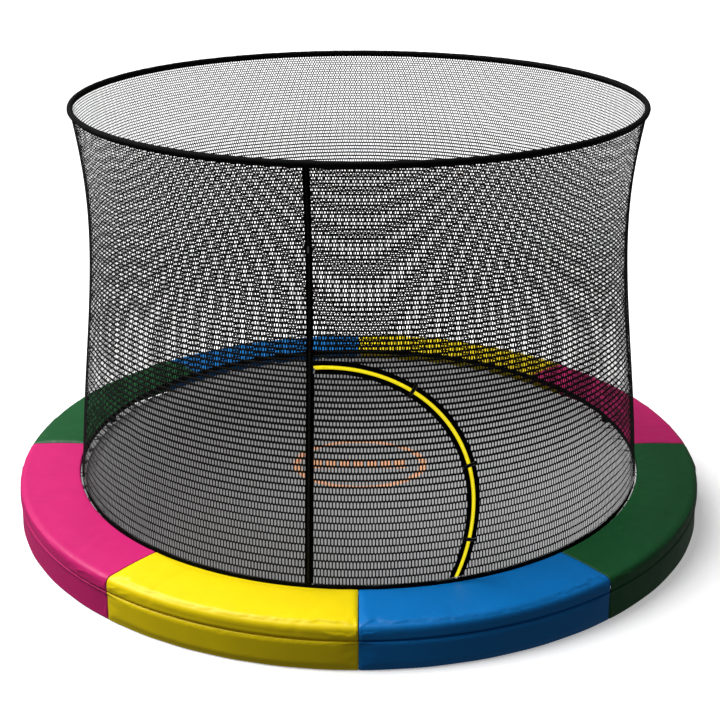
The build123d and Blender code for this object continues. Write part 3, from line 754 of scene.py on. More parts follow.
# ---- net
NET_COLUMNS, NET_ROWS, NET_PANELS = 600, 82, 12
NET_LOW, NET_HIGH = 194.0, 1788.0
ROW_LOW, ROW_FALL = 33.2, 0.014537  # pitch of the lowest row, and how fast the rows close up with height
ZIGZAG = 1.7  # half the zigzag of a row
STRAND_SHARE = 0.198  # half a strand's width, as a share of the columns' pitch
ROW_SHARES = (0.110, 0.215, 0.215, 0.160)  # half a row's width, as a share of the rows' pitch
ROW_SHARE_Z = (450, 850, 1300, 1500)  # heights of those shares
STRAND_LIFT = 0.62
FRONT = 60  # the door and its zip lie within this azimuth of the front
PITCH_AZ = 360 / NET_COLUMNS
ROW = arange(NET_ROWS)[:, None, None]
COLUMN = arange(NET_COLUMNS)[None, :, None]
STEP = array([0, 1, 1, 0, -1, -1])  # half columns from a cell's middle to its six corners
UPPER = array([1, 1, 0, 0, 0, 1])  # which of them are on the line above the cell


def closed_up(j):
    """How much the rows' pitch and zigzag shrink, counted in rows from the bottom."""
    return exp(-ROW_FALL * j)


def row_height(j):
    return NET_LOW + ROW_LOW / ROW_FALL * (1 - closed_up(j))


def cell_azimuth(offset=0.0):
    """Azimuth at an offset in columns from each cell's middle, which is offset every other row."""
    return HINGE_AZ + (COLUMN + 0.5 * (ROW % 2) + 0.25 + offset) * PITCH_AZ


def net_lattice():
    """Azimuths and heights of the crossings and of the cells' holes, and each cell's six crossings."""
    k, j = arange(2 * NET_COLUMNS), arange(NET_ROWS + 1)[:, None]
    cross_az = HINGE_AZ + (k / 2 + 0.25) * PITCH_AZ + 0 * j
    high = where((k + j) % 2 == 1, ZIGZAG, -ZIGZAG)
    cross_z = clip(row_height(j) + high * closed_up(j), NET_LOW, NET_HIGH)
    hole_az = cell_azimuth(STEP / 2 * (1 - 2 * STRAND_SHARE))
    inward = where(UPPER == 1, -1, 1)
    bow = where(STEP == 0, -1, 1) * inward
    line = row_height(ROW + UPPER) + bow * ZIGZAG * closed_up(ROW + UPPER)
    share = np.interp(line, ROW_SHARE_Z, ROW_SHARES)
    hole_z = line + inward * share * (row_height(ROW + 1) - row_height(ROW)) + 0 * hole_az
    corners = (ROW + UPPER) * 2 * NET_COLUMNS + (2 * COLUMN + ROW % 2 + STEP) % (2 * NET_COLUMNS)
    return cross_az.ravel(), cross_z.ravel(), hole_az, hole_z, corners


def zip_reach(x, z):
    """Below 1 inside the door's outline, above 1 outside."""
    return np.hypot((x - DOOR_X) / DOOR_W, (z - DOOR_Z) / where(z > DOOR_Z, DOOR_UP, DOOR_DOWN))


def pressed(az, z, door):
    """Moves net points that cross the zip's line or the strip back to their own side."""
    az = wrapped(az)
    reach = maximum(zip_reach(net_middle(z) * sin(radians(az)), z), 1e-6)
    if door:
        az, edge = maximum(az, DOOR_LEFT), 0.995
        move = reach > edge
    else:
        right = (np.abs(az) < FRONT) & (az > STRIP_RIGHT) & (reach < 1)
        by_strip = right & (az < HINGE_AZ + 0.3) & (reach < 0.97)
        az, edge = where(by_strip, STRIP_RIGHT, az), 1.005
        move = right & ~by_strip
    x = net_middle(z[move]) * sin(radians(az[move]))
    x, up = (middle + (at - middle) * edge / reach[move] for at, middle in ((x, DOOR_X), (z[move], DOOR_Z)))
    z[move] = clip(up, NET_LOW, NET_HIGH)
    az[move] = degrees(np.arcsin(clip(x / net_middle(z[move]), -1, 1)))
    return maximum(az, DOOR_LEFT) if door else az, z


def net_piece(name, chosen, door=False):
    """Closed lace mesh of the chosen cells: each strand is ridged outside and inside."""
    cross_az, cross_z, hole_az, hole_z, corners = lattice
    used, corner = np.unique(corners[chosen], return_inverse=True)
    corner = corner.reshape(-1, 6)
    count = len(used)
    az, z = pressed(cross_az[used], cross_z[used], door)
    hole = net_point(*pressed(hole_az[chosen].ravel(), hole_z[chosen].ravel(), door), 0)
    rim = 2 * count + arange(corner.size).reshape(-1, 6)
    following = np.roll(arange(6), -1)
    a, b, c, d = corner, corner[:, following], rim[:, following], rim
    front = stack([a, b, c, d], axis=-1).reshape(-1, 4)
    back = stack([d, c, b + count, a + count], axis=-1).reshape(-1, 4)
    edges = stack([a, b], axis=-1).reshape(-1, 2)
    _, first, times = np.unique(np.sort(edges, axis=1), axis=0, return_index=True, return_counts=True)
    border = edges[first[times == 1]]
    side = column_stack([border[:, ::-1], border + count])
    points = concatenate([net_point(az, z, STRAND_LIFT), net_point(az, z, -STRAND_LIFT), hole])
    return piece(name, points, [concatenate([front, back, side])], "net_strand", "net")


def cell_panels():
    """Number of each cell's panel, or -1 for the door's cells."""
    az = wrapped(cell_azimuth()[..., 0])
    z = row_height(ROW[..., 0] + 0.5)
    reach = zip_reach(net_middle(z) * sin(radians(az)), z)
    door = (reach < 1) & (az > HINGE_AZ) & (np.abs(az) < FRONT)
    return where(door, -1, COLUMN[..., 0] * NET_PANELS // NET_COLUMNS)


lattice, panel_of = net_lattice(), cell_panels()
panels = [fixed(net_piece(f"net_panel_{k + 1}", panel_of == k), "net_wall") for k in range(NET_PANELS)]
door = hinged(net_piece("net_door_panel", panel_of == -1, True), "net_door")


# ---- hem, hoop sleeve
HEM_R = 1251.0
HEM_HALF = 1.0
HEM_SEAM_Z = 193.1  # the strip beside the door starts here
TURN_STEPS = linspace(0, 360, 721)[:-1]  # azimuths for what goes all round


def hem_piece(name, az, low, high, count, wrap=False):
    """Hem webbing: thicker selvedges, and a fold line along its middle."""
    t = linspace(0, 1, count)
    bulge = HEM_HALF * (1 + 0.25 * cos(2 * pi * t) * (np.abs(t - 0.5) > 0.2))
    bulge[[0, -1]] = HEM_HALF * 0.4
    pull = 0.5 * sin(radians(az)[:, None] * 30) * t
    faces = (polar(az[:, None], HEM_R + side * bulge + pull, low + (high - low) * t) for side in (1, -1))
    return shell_piece(name, *faces, "hem_webbing", "sleeve_cloth", wrap)


def hinge_binding():
    """Black edge binding of the door's cloth, along the strip it hangs from."""
    z = linspace(196.6, DOOR_Z + DOOR_UP - 26, 120)[:, None]
    t = linspace(-1, 1, 7)
    az = STRIP_RIGHT - 0.02 + 0.12 * (t + 1)
    swell = 1.5 - 0.5 * t**4
    faces = net_point(az, z, swell), net_point(az, z, -swell)
    return shell_piece("door_hinge_binding", *faces, "zip_tape_black", "zip_black")


hinge_edge = hinged(hinge_binding())
zip_foot = DOOR_X + (DOOR_W + ZIP_GAP) * cos(radians(zip_span(ZIP_GAP, STRIP_RIGHT)[0]))
hem_right = degrees(np.arcsin(zip_foot / net_middle(DOOR_HEM_Z)))
hem_wall = hem_piece("net_hem_lower", linspace(0, 360, 481)[:-1], HEM_Z[0], HEM_SEAM_Z, 9, True)
beside = linspace(hem_right + 0.05, 360 + STRIP_RIGHT - 0.02, 460)
hem_upper = hem_piece("net_hem_upper", beside, HEM_SEAM_Z + 0.1, HEM_Z[1], 4)
between = linspace(DOOR_LEFT, hem_right - 0.12, 60)
hem_door = hem_piece("door_hem_band", between, HEM_SEAM_Z + 0.4, HEM_Z[1] + 0.3, 4)
fixed(hem_wall, "net_hem")
fixed(hem_upper, "net_hem")
hinged(hem_door, "door_hem")

SLEEVE_R = 12.4


def sleeve_grid(radius):
    """Cloth tube round the hoop: small gathers across it, and a flat seam at its foot."""
    t, s = radians(TURN_STEPS[:, None]), radians(linspace(-90, 270, 29)[:-1])
    gather = 0.32 * sin(61 * t + 0.8 * sin(17 * t)) + 0.2 * sin(149 * t + 2 * sin(s))
    r = radius + gather * (0.4 + 0.6 * cos((s - pi / 2) / 2) ** 2) - 0.4
    return polar(TURN_STEPS[:, None], HOOP_R + r * cos(s), HOOP_Z + r * sin(s))


def seam_flange():
    """Folded seam allowance that joins the net's top edge to the sleeve."""
    z = array([1782.6, 1783.0, 1784.2, 1786.0, 1787.5])
    lift = array([1.3, 1.9, 2.1, 2.2, 2.2])
    radius = net_middle(z) + 0.25 * sin(radians(TURN_STEPS) * 97)[:, None]
    faces = (polar(TURN_STEPS[:, None], radius + side * lift, z) for side in (1, -1))
    return shell_piece("sleeve_seam", *faces, "sleeve_cloth", "sleeve_cloth", True)


def ring_stitches(z, radius, thread, azimuths=arange(0, 360, 0.25)):
    return stitches(polar(azimuths, radius, z), *thread)


def stitching(name, rows, thread, slot):
    return piece(name, *joined(rows), thread, slot)


FLANGE_Z = 1784.6
sleeve = sleeve_grid(SLEEVE_R), sleeve_grid(SLEEVE_R - 1.0)
hoop_sleeve = shell_piece("hoop_sleeve", *sleeve, "sleeve_cloth", "sleeve_cloth", True, True)
fixed(hoop_sleeve, "net_top_sleeve")
flange = fixed(seam_flange())
rows = [ring_stitches(FLANGE_Z, net_middle(FLANGE_Z) + 2.15, (5.0, 7.5, 0.9))]
flange_thread = fixed(stitching("sleeve_stitching", rows, "thread_black", "sleeve_cloth"))


# ---- vertical zip
STRIP_MIDDLE = (STRIP_LEFT + STRIP_RIGHT) / 2
NET_FACE = 0.5  # the CAD net's outer face above its middle
SEAM_THREAD = (4.5, 6.5, 0.8)  # length, pitch and thickness of the zips' stitches


def strip_tape(name, left, right, selvedge):
    """Half of the vertical zip's tape, with a raised selvedge at a share of its width."""
    z = linspace(192.6, 1784.4, 240)[:, None]
    t = linspace(0, 1, 9)
    high = 1.35 + 0.18 * exp(-(((t - selvedge) / 0.08) ** 2))
    faces = (net_point(left + (right - left) * t, z, NET_FACE + 0.1 + lift) for lift in (high, 0.0))
    return fixed(shell_piece(name, *faces, "zip_tape_black", "zip_black"), "main_zip_tape")


def tooth_rows(path, half_width, lift, pitch, side):
    """Teeth of one half of a zip: alternate teeth reach past the middle from either side."""
    spots = spaced(path, pitch)
    across, ahead, out = frames_along(spots)
    tooth = blob(half_width, pitch * 0.62, lift)
    spots = spots + across * (side * half_width * 0.47) + ahead * (pitch / 4 * side)
    return placed(tooth, spots, (across, ahead, out))


tapes = [
    strip_tape("main_zip_tape_left", STRIP_LEFT, STRIP_MIDDLE - 0.004, 0.08),
    strip_tape("main_zip_tape_right", STRIP_MIDDLE + 0.004, STRIP_RIGHT, 0.92),
]
strip_path = net_point(STRIP_MIDDLE, linspace(199.0, 1781.0, 700), NET_FACE + 1.6)
rows = [tooth_rows(strip_path, 4.2, 1.9, 2.8, side) for side in (-1, 1)]
main_teeth = fixed(piece("main_zip_teeth", *joined(rows), "zip_coil_black", "zip_black"), "main_zip_coil")
z = linspace(197.0, 1782.0, 400)
rows = [
    stitches(net_point(az, z, NET_FACE + 1.5), *SEAM_THREAD)
    for az in (STRIP_LEFT + 0.10, STRIP_LEFT + 0.36, STRIP_RIGHT - 0.36, STRIP_RIGHT - 0.10)
]
strip_thread = fixed(stitching("main_zip_stitching", rows, "thread_black", "zip_black"))


# ---- door zip
TAPE_LOW, TAPE_HIGH = 0.2, 1.5


def zip_band(name, inner, outer, high, left, material, slot, round_edge=0.0):
    """Band along the door's zip between two offsets from its line."""
    offsets = linspace(inner, outer, 7)
    first, last = array([zip_span(o, left) for o in offsets]).T
    turn = first + (last - first) * linspace(0, 1, 220)[:, None]
    high = high - round_edge * linspace(-1, 1, 7) ** 4
    faces = (zip_ring(turn, offsets, NET_FACE + lift) for lift in (high, TAPE_LOW))
    return shell_piece(name, *faces, material, slot)


def zip_path(offset, lift, left):
    return zip_ring(linspace(*zip_span(offset, left), 900), offset, NET_FACE + lift)


zip_pieces = {}
for side, sign, tape_edge, coil_edge, hang in (
    ("wall", 1, STRIP_RIGHT + 0.05, STRIP_RIGHT + 0.05, fixed),
    ("door", -1, -7.7, -7.5, hinged),
):
    name = f"door_zip_{side}"
    inner, outer = ZIP_HALF_W + 0.1, ZIP_HALF_W + BINDING_W
    tape = sign * ZIP_GAP, sign * ZIP_HALF_W, TAPE_HIGH, tape_edge, "zip_tape_yellow", "zip_yellow"
    binding = sign * inner, sign * outer, TAPE_HIGH + 0.4, tape_edge, "zip_tape_black", "zip_black", 0.9
    path = zip_path(sign * ZIP_GAP, TAPE_HIGH + 0.1, coil_edge)[::-sign]
    teeth = tooth_rows(path, 4.0, 2.2, 3.0, 1)
    rows = [
        stitches(zip_path(sign * offset, TAPE_HIGH + 0.35, tape_edge), *SEAM_THREAD)
        for offset in (ZIP_HALF_W + 2.2, outer - 2.2)
    ]
    zip_pieces[side] = [
        hang(zip_band(f"{name}_tape_cloth", *tape), f"{name}_tape"),
        hang(zip_band(f"{name}_binding_cloth", *binding), f"{name}_binding"),
        hang(piece(f"{name}_teeth", *teeth, "zip_coil_yellow", "zip_yellow"), f"{name}_coil"),
        hang(stitching(f"{name}_stitching", rows, "thread_black", "zip_black")),
    ]


# ---- closure tabs
TAB_TURNS = (56.3, 16.1, -13.3)
TAB_LIFT = 5.0
TAB_SIZE = (62.0, 15.0, 1.5)
TAB_TIP = 8.0  # length of its rounded end
PATCH_OUT = 19.0  # from the zip's middle to the middle of the patch


def zip_frame(turn, lift, aside=0.0):
    """Place over the middle of the zip at a turn, and the axes across, along and out of the net."""
    middle = zip_ring(turn, 0.0, NET_FACE)
    across = unit(zip_ring(turn, 20.0, NET_FACE) - zip_ring(turn, -20.0, NET_FACE))
    along = zip_ring(turn + 1, 0.0, NET_FACE) - zip_ring(turn - 1, 0.0, NET_FACE)
    out = unit(cross(across, along))
    return middle + out * lift + across * aside, array([across, cross(out, across), out])


def set_in(points, place):
    return place[0] + points @ place[1]


def tab_shape():
    """Webbing tab: rounded free end, dipping onto the binding at its sewn end."""
    length, width, thick = TAB_SIZE
    tip = length / 2 - TAB_TIP
    x = concatenate([linspace(-length / 2, tip, 26), tip + TAB_TIP * sin(linspace(0.15, 1.5, 8))])
    fall = maximum(1 - (maximum(x - tip, 0) / (TAB_TIP + 0.2)) ** 4, 0.02)
    y = linspace(-1, 1, 9)
    dip = -2.4 * (1 - smooth(x, -length / 2 + 4, -length / 2 + 13))
    dip = (dip + 0.5 * sin(pi * (x + length / 2) / length))[:, None]
    edge = 0.25 * y**4
    across = (width / 2 * sqrt(fall))[:, None] * y
    return stacked(x[:, None], across, dip + thick - edge), stacked(x[:, None], across, dip + edge)


def box_stitch(length, width, height):
    """Stitched rectangle with a cross in it, as a line of short threads in the plane of the tab."""
    corner = array([(-1, -1), (1, -1), (1, 1), (-1, 1)]) * (length / 2, width / 2)
    parts = []
    for start, end in ((0, 1), (1, 2), (2, 3), (3, 0), (0, 2), (3, 1)):
        run = corner[end] - corner[start]
        count = max(2, int(np.hypot(*run) / 2.6))
        spots = corner[start] + run * ((arange(count) + 0.5) / count)[:, None]
        ahead = unit((*run, 0))
        axes = cross(ahead, (0, 0, 1)), ahead, (0, 0, 1)
        parts.append(placed(blob(0.7, 2.0, 0.4), column_stack([spots, full(count, height)]), axes))
    return joined(parts)


patch_parts = []
for k, turn in enumerate(TAB_TURNS):
    place = zip_frame(turn, TAB_LIFT)
    top, bottom = (set_in(g, place) for g in tab_shape())
    tab = shell_piece(f"door_tab_{k + 1}_strap", top, bottom, "black_webbing", "zip_black")
    fixed(tab, f"door_tab_{k + 1}", f"tab_{k + 1}")
    rows = [moved(box_stitch(8.0, 10.0, -0.75), (-25.5, 0, 0))]
    x = linspace(-15, 26, 60)
    for y in (-5.6, 5.6):
        line = spaced(stacked(x, y, 1.9 + 0.1 * sin(pi * (x + 31) / 62)), 4.0)
        rows.append(placed(blob(0.7, 2.8, 0.4), line, ((0, 1, 0), (1, 0, 0), (0, 0, 1))))
    points, faces = joined(rows)
    seam = piece(f"door_tab_{k + 1}_stitching", set_in(points, place), faces, "thread_light", "zip_black")
    fixed(seam, None, f"tab_{k + 1}")
    held_by = [zip_pieces["door"][1].name]
    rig.sheet(tab, flat=(0.0625, 0.015), held="stretched", rests_on=held_by, with_pieces=[seam])

    x, y = (g.ravel() for g in np.meshgrid(arange(-5, 5.1, 1.6), arange(-5.6, 5.7, 1.6)))
    tufts = placed(blob(0.8, 0.8, 0.45), stacked(x, y, 1.9))
    points, faces = joined([blob(12.0, 13.0, 2.0), tufts])
    patch_parts.append((set_in(points, zip_frame(turn, TAB_LIFT - 2.7, PATCH_OUT)), faces))
patches = fixed(piece("tab_patches", *joined(patch_parts), "hook_and_loop", "zip_black"), "door_tab_patches")


# ---- bed: mat, rim, rings, tabs, springs
SECTOR_EDGE = 0.004  # keeps the shading flat right up to the line between two sectors, in degrees
MAT_FACES = MAT_Z + MAT_T / 2, MAT_Z - MAT_T / 2
RIM_FACE = 2.1  # the rim's faces above and below the mat's middle
WIRE_BEND = 6.0  # of a ring's corners
HOOK_Y = 16.0


def mat_sector(name, first, last):
    edge = [first, *linspace(first + SECTOR_EDGE, last - SECTOR_EDGE, 25), last]
    radius = [BED_END, BED_END + 0.1, *linspace(BED_END + 20, 1150, 45), *linspace(1166, MAT_R, 6)]
    return slab(name, array(edge), array(radius), *MAT_FACES, "jump_mat_weave", "jump_mat")


def mat_middle():
    radius = array([*linspace(2, BED_END - 12, 13), BED_END - 0.1, BED_END])[:, None]
    top, bottom = (polar(linspace(0, 360, 289)[:-1], radius, z) for z in MAT_FACES)
    disc = loft(concatenate([top, bottom[::-1]]), [(0, 0, z) for z in MAT_FACES])
    return piece("mat_middle", *disc, "jump_mat_weave", "jump_mat")


def rim_sector(name, first, last):
    """Webbing folded over the mat's edge."""
    az = linspace(first, last, 61)[:, None]
    inner, outer = 1196.0, 1237.2
    flat = linspace(inner, outer - 1, 12)
    bend = radians(linspace(90, -90, 9))
    pucker = 1 + 0.12 * sin(radians(az) * 240)
    grids = []
    for face, edge, turn, wave in ((RIM_FACE, outer, 1.3, pucker), (0.75, outer - 0.9, 0.4, 1.0)):
        radius = concatenate([flat, edge + turn * cos(bend), flat[::-1]])
        z = face * concatenate([np.ones(12), sin(bend), -np.ones(12)])
        grids.append(polar(az, radius, MAT_Z + z * wave))
    return shell_piece(name, *grids, "rim_webbing", "grey_webbing")


def v_ring():
    """Triangular wire ring with rounded corners, base towards the mat."""
    base = RING_HALF_BASE
    corner = array([(RING_BASE_X, base), (RING_APEX_X, 0), (RING_BASE_X, -base)])
    path = []
    for k in range(3):
        here, following = corner[k], corner[(k + 1) % 3]
        back, ahead = unit(corner[k - 1] - here), unit(following - here)
        half = np.arccos(back @ ahead) / 2
        cut = WIRE_BEND / np.tan(half)
        centre = here + unit(back + ahead) * WIRE_BEND / sin(half)
        start, end = (np.arctan2(*(here + side * cut - centre)[::-1]) for side in (back, ahead))
        turn = start + ((end - start + pi) % (2 * pi) - pi) * linspace(0, 1, 9)
        path += list(centre + WIRE_BEND * column_stack([cos(turn), sin(turn)]))
        path += [path[-1] + ahead * d for d in (8.0, 16.0)]
    return tube([(x, y, MAT_Z) for x, y in path], 2.0, 8, True)


def ribbon(x, z, half_width, count, above, below):
    """Closed strip along a line in the upright plane at +X, with its faces at two distances from it."""
    line = column_stack([x, z])
    normal = unit(np.gradient(line, axis=0))[:, ::-1] * (-1, 1)
    y = linspace(-half_width, half_width, count)
    faces = (np.hsplit(line + normal * shift, 2) for shift in (above, below))
    return closed_shell(*(stacked(across, y, up) for across, up in faces))


def ring_tab():
    """Webbing from the rim round the ring's base wire and back under the rim."""
    turn = radians(linspace(84, -100, 12))
    x = [*linspace(1201, 1245, 9), *(RING_BASE_X + 3.6 * cos(turn)), *linspace(1247.5, 1241.5, 3)]
    z = [*linspace(2.95, 3.3, 9), *(3.6 * sin(turn)), *linspace(-3.7, -3.6, 3)]
    return ribbon(x, MAT_Z + array(z), 10.8, 7, 0.75, -0.7)


def arc_at(x, z, radius, first, last, count):
    """Points of an arc in the upright plane at +X."""
    turn = radians(linspace(first, last, count))
    return stacked(x + radius * cos(turn), 0.0, z + radius * sin(turn))


def spring():
    """One continuous wire: hook round the ring, close coil, and a hook down into the rail."""
    turns, around = 30, 10
    t = linspace(0, turns, turns * around + 1)
    angle = pi / 2 + 2 * pi * t
    radius = 4.6 + 5.6 * smooth(t, 0, 1.0)
    path = [
        arc_at(1290.4, 0.0, 4.6, 310, 90, 14),
        [(1296.0, 0, 4.6), (1300.0, 0, 4.6)],
        stacked(1304.0 + 132.0 * t / turns, radius * cos(angle), radius * sin(angle)),
        [(1443.0, 0, 9.9), (1449.0, 0, 9.8)],
        arc_at(1451.0, 4.8, 5.0, 90, 0, 6),
        [(1456.0, 0, 0.8), (1456.0, 0, -3.2)],
    ]
    return moved(tube(concatenate(path), 1.75, 6), (0, 0, MAT_Z))


def hem_hook():
    """Plastic hook that hangs from the hem and closes round a ring's base wire."""
    curl = arc_at(RING_BASE_X, MAT_Z, 4.6, 340, 90, 18)
    stem = [(RING_BASE_X, 0, MAT_Z + 6.5), (RING_BASE_X, 0, HEM_Z[0] + 1.0)]
    plate = moved(blob(2.2, 8.0, 11.0), (RING_BASE_X, 0, HEM_Z[0] - 9.0))
    return moved(joined([tube(concatenate([curl, stem]), 1.4, 8), plate]), (0, HOOK_Y, 0))


tab_seam = moved(box_stitch(18.0, 15.0, MAT_Z + 3.8), (1215.0, 0, 0))
small_parts = (
    ("ring_tabs", ring_tab(), "rim_webbing", "grey_webbing", "ring_tabs"),
    ("ring_tab_stitching", tab_seam, "thread_grey", "grey_webbing", None),
    ("v_rings", v_ring(), "ring_steel", "spring_steel", "v_rings"),
    ("springs", spring(), "spring_steel", "spring_steel", "springs"),
)
width, per_sector = 360 / SECTORS, SPRINGS // SECTORS
half = radians(width / 2)
mat_flat = (2 * MAT_R * sin(half) * MM, (MAT_R - BED_END * cos(half)) * MM)
mat_area = pi * (MAT_R**2 - BED_END**2) / SECTORS * MM**2
spring_azimuths = 360 / SPRINGS * (arange(SPRINGS) + 0.5)
for k in range(SECTORS):
    first, last = k * width, (k + 1) * width
    azimuths = arange(first + 0.1, last, 0.5)
    rows = [ring_stitches(MAT_Z + RIM_FACE, r, (4.0, 6.0, 0.8), azimuths) for r in (1199.5, 1233.5)]
    made = [
        (mat_sector(f"mat_sector_{k + 1}", first, last), "mat"),
        (rim_sector(f"mat_rim_{k + 1}", first, last), "mat_rim"),
        (stitching(f"mat_rim_stitching_{k + 1}", rows, "thread_grey", "grey_webbing"), None),
    ]
    places = spring_azimuths[k * per_sector : (k + 1) * per_sector]
    for name, part, material, slot, old in small_parts:
        made.append((piece(f"{name}_{k + 1}", *all_round(part, places), material, slot), old))
    sector, rim, rim_seam, tabs, seams, _, coils = (hung(obj, (k + 0.5) * width, old) for obj, old in made)
    go = [rim, rim_seam, tabs, seams]
    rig.sheet(sector, flat=mat_flat, held="stretched", rests_on=[coils.name], area=mat_area, with_pieces=go)

disc = fixed(mat_middle(), "mat", "bed")
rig.sheet(disc, flat=(0.5, 0.5), held="stretched", rests_on=["mat_sector_1"], area=pi * 0.25**2)

hooks = piece("hem_clips", *all_round(hem_hook(), spring_azimuths[::2]), "hook_plastic", "hook_plastic")
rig.replaces(hooks, "hem_hooks")
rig.blend(hooks, "base", "bed", (0, 0, 0.185), (0, 0, -0.055))


# ---- pads
CREASE_Z = 125.6
SHOULDER_SQUARE = 0.58  # below 1 the shoulder turns more sharply than an ellipse
VINYL = 1.5
FOAM_UNDER = 165.6
SEAM_GAP = 0.055  # between a pad's end and its seam on the top, in degrees
SKIRT_GAP = 0.006  # the same down the skirt
ROLL_DEPTH, ROLL_WIDTH = 6.0, 9.0  # how the pad's ends roll down into the seams
CLOTH_FRAMES = 18
CLOTH_RISE = 6.0  # the most that the cloth may rise, and sink: the small gap between cover and foam
CLOTH_SINK = 0.8
CLOTH = {
    "quality": 4,
    "mass": 0.4,
    "tension_stiffness": 25,
    "compression_stiffness": 25,
    "shear_stiffness": 8,
    "bending_stiffness": 1.5,
    "air_damping": 4,
    "use_pressure": True,
    "uniform_pressure_force": 2.6,
    "shrink_min": -0.006,
    "vertex_group_mass": "held",
}


def pad_profile():
    """Outer line of a pad from its inner foot over the top to the skirt's hem, as radius and height."""
    foot = PAD_INNER_R
    line = [(foot + 0.3, 164.0), (foot + 0.2, 168.0), (foot, 173.0), (foot, 178.0)]
    t = radians(linspace(180, 96, 7))
    line += list(zip(foot + 9 + 9 * cos(t), 180.0 + 7.5 * sin(t)))
    for r in linspace(1277, 1462, 20):
        line.append((r, 190.0 - 4.3 * ((r - 1366) / 107) ** 2 * (1 if r > 1366 else 0.55)))
    t = radians(linspace(84, 3, 20))
    out, up = cos(t) ** SHOULDER_SQUARE, sin(t) ** SHOULDER_SQUARE
    line += list(zip(1474.0 + 50.4 * out, 137.0 + 49.0 * up))
    line += [(1524.6, 134.5), (1524.8, 129.8), (1523.4, 128.2), (1512.0, 127.0), (1509.5, CREASE_Z)]
    line += [(1512.0, 124.6), (1519.5, 122.6), (1524.4, 120.8), (1525.2, 118.2), (1523.8, 115.2)]
    line += [(1522.6, 112.0), (1522.2, 104.0)]
    line += [(1522.2 + 2.3 * (104 - z) / 100, z) for z in linspace(95, 9, 10)]
    return array([*line, (1524.5, 5.5), (1524.2, 3.3)])


def creases(index, count, r, z):
    """Small radial wrinkles across the pad's top, and slow waves down the skirt."""
    rng = np.random.default_rng(SEED + index)
    share = linspace(0, 1, count)[:, None]
    lift = 0.0
    for _ in range(26):
        place, wide = rng.random(), 0.006 + 0.018 * rng.random()
        deep, lean = rng.normal(0, 0.55), rng.normal(0, 0.02)
        inside = rng.random() > 0.35
        fade = smooth(r, 1262 + 60 * rng.random(), 1400) if inside else 1 - smooth(r, 1330, 1470)
        lift = lift + deep * exp(-(((share - place - lean * (r - 1390) / 130) / wide) ** 2)) * fade
    top = smooth(r, 1262, 1300) * (z > 150)
    skirt = 0.5 * sin(share * (31 + index) + z / 60) * (1 - smooth(z, 20, 120)) * (z < 124)
    return (lift * top + skirt) * smooth(minimum(share, 1 - share), 0, 0.03)


def puffed(points, faces, pinned, normal):
    """The grid blown up slightly by a cloth simulation with its pinned points held, in millimetres."""
    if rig.quick():
        return points
    flat, outward = points.reshape(-1, 3), normal.reshape(-1, 3)
    mesh = bpy.data.meshes.new("puff")
    mesh.from_pydata((flat * MM).tolist(), [], faces.tolist())
    obj = added("puff", mesh)
    group = obj.vertex_groups.new(name="held")
    for i, weight in enumerate(pinned.ravel()):
        if weight > 0:
            group.add([i], float(weight), "REPLACE")
    cloth_step = obj.modifiers.new("cloth", "CLOTH")
    for key, value in CLOTH.items():
        setattr(cloth_step.settings, key, value)
    cloth_step.settings.effector_weights.gravity = 0
    cloth_step.collision_settings.use_collision = False
    cloth_step.point_cache.frame_start, cloth_step.point_cache.frame_end = 1, CLOTH_FRAMES
    for number in range(1, CLOTH_FRAMES + 1):
        bpy.context.scene.frame_set(number)
    shown = obj.evaluated_get(bpy.context.evaluated_depsgraph_get()).to_mesh()
    blown = zeros(len(flat) * 3, np.float32)
    shown.vertices.foreach_get("co", blown)
    bpy.data.objects.remove(obj)
    bpy.context.scene.frame_set(1)
    change = blown.reshape(-1, 3) / MM - flat
    size = np.linalg.norm(change, axis=1)[:, None]
    change *= minimum(1, CLOTH_RISE / maximum(size, 1e-6))
    rise = (change * outward).sum(1)[:, None]
    change += outward * (maximum(rise, -CLOTH_SINK) - rise)
    return (flat + change).reshape(points.shape)


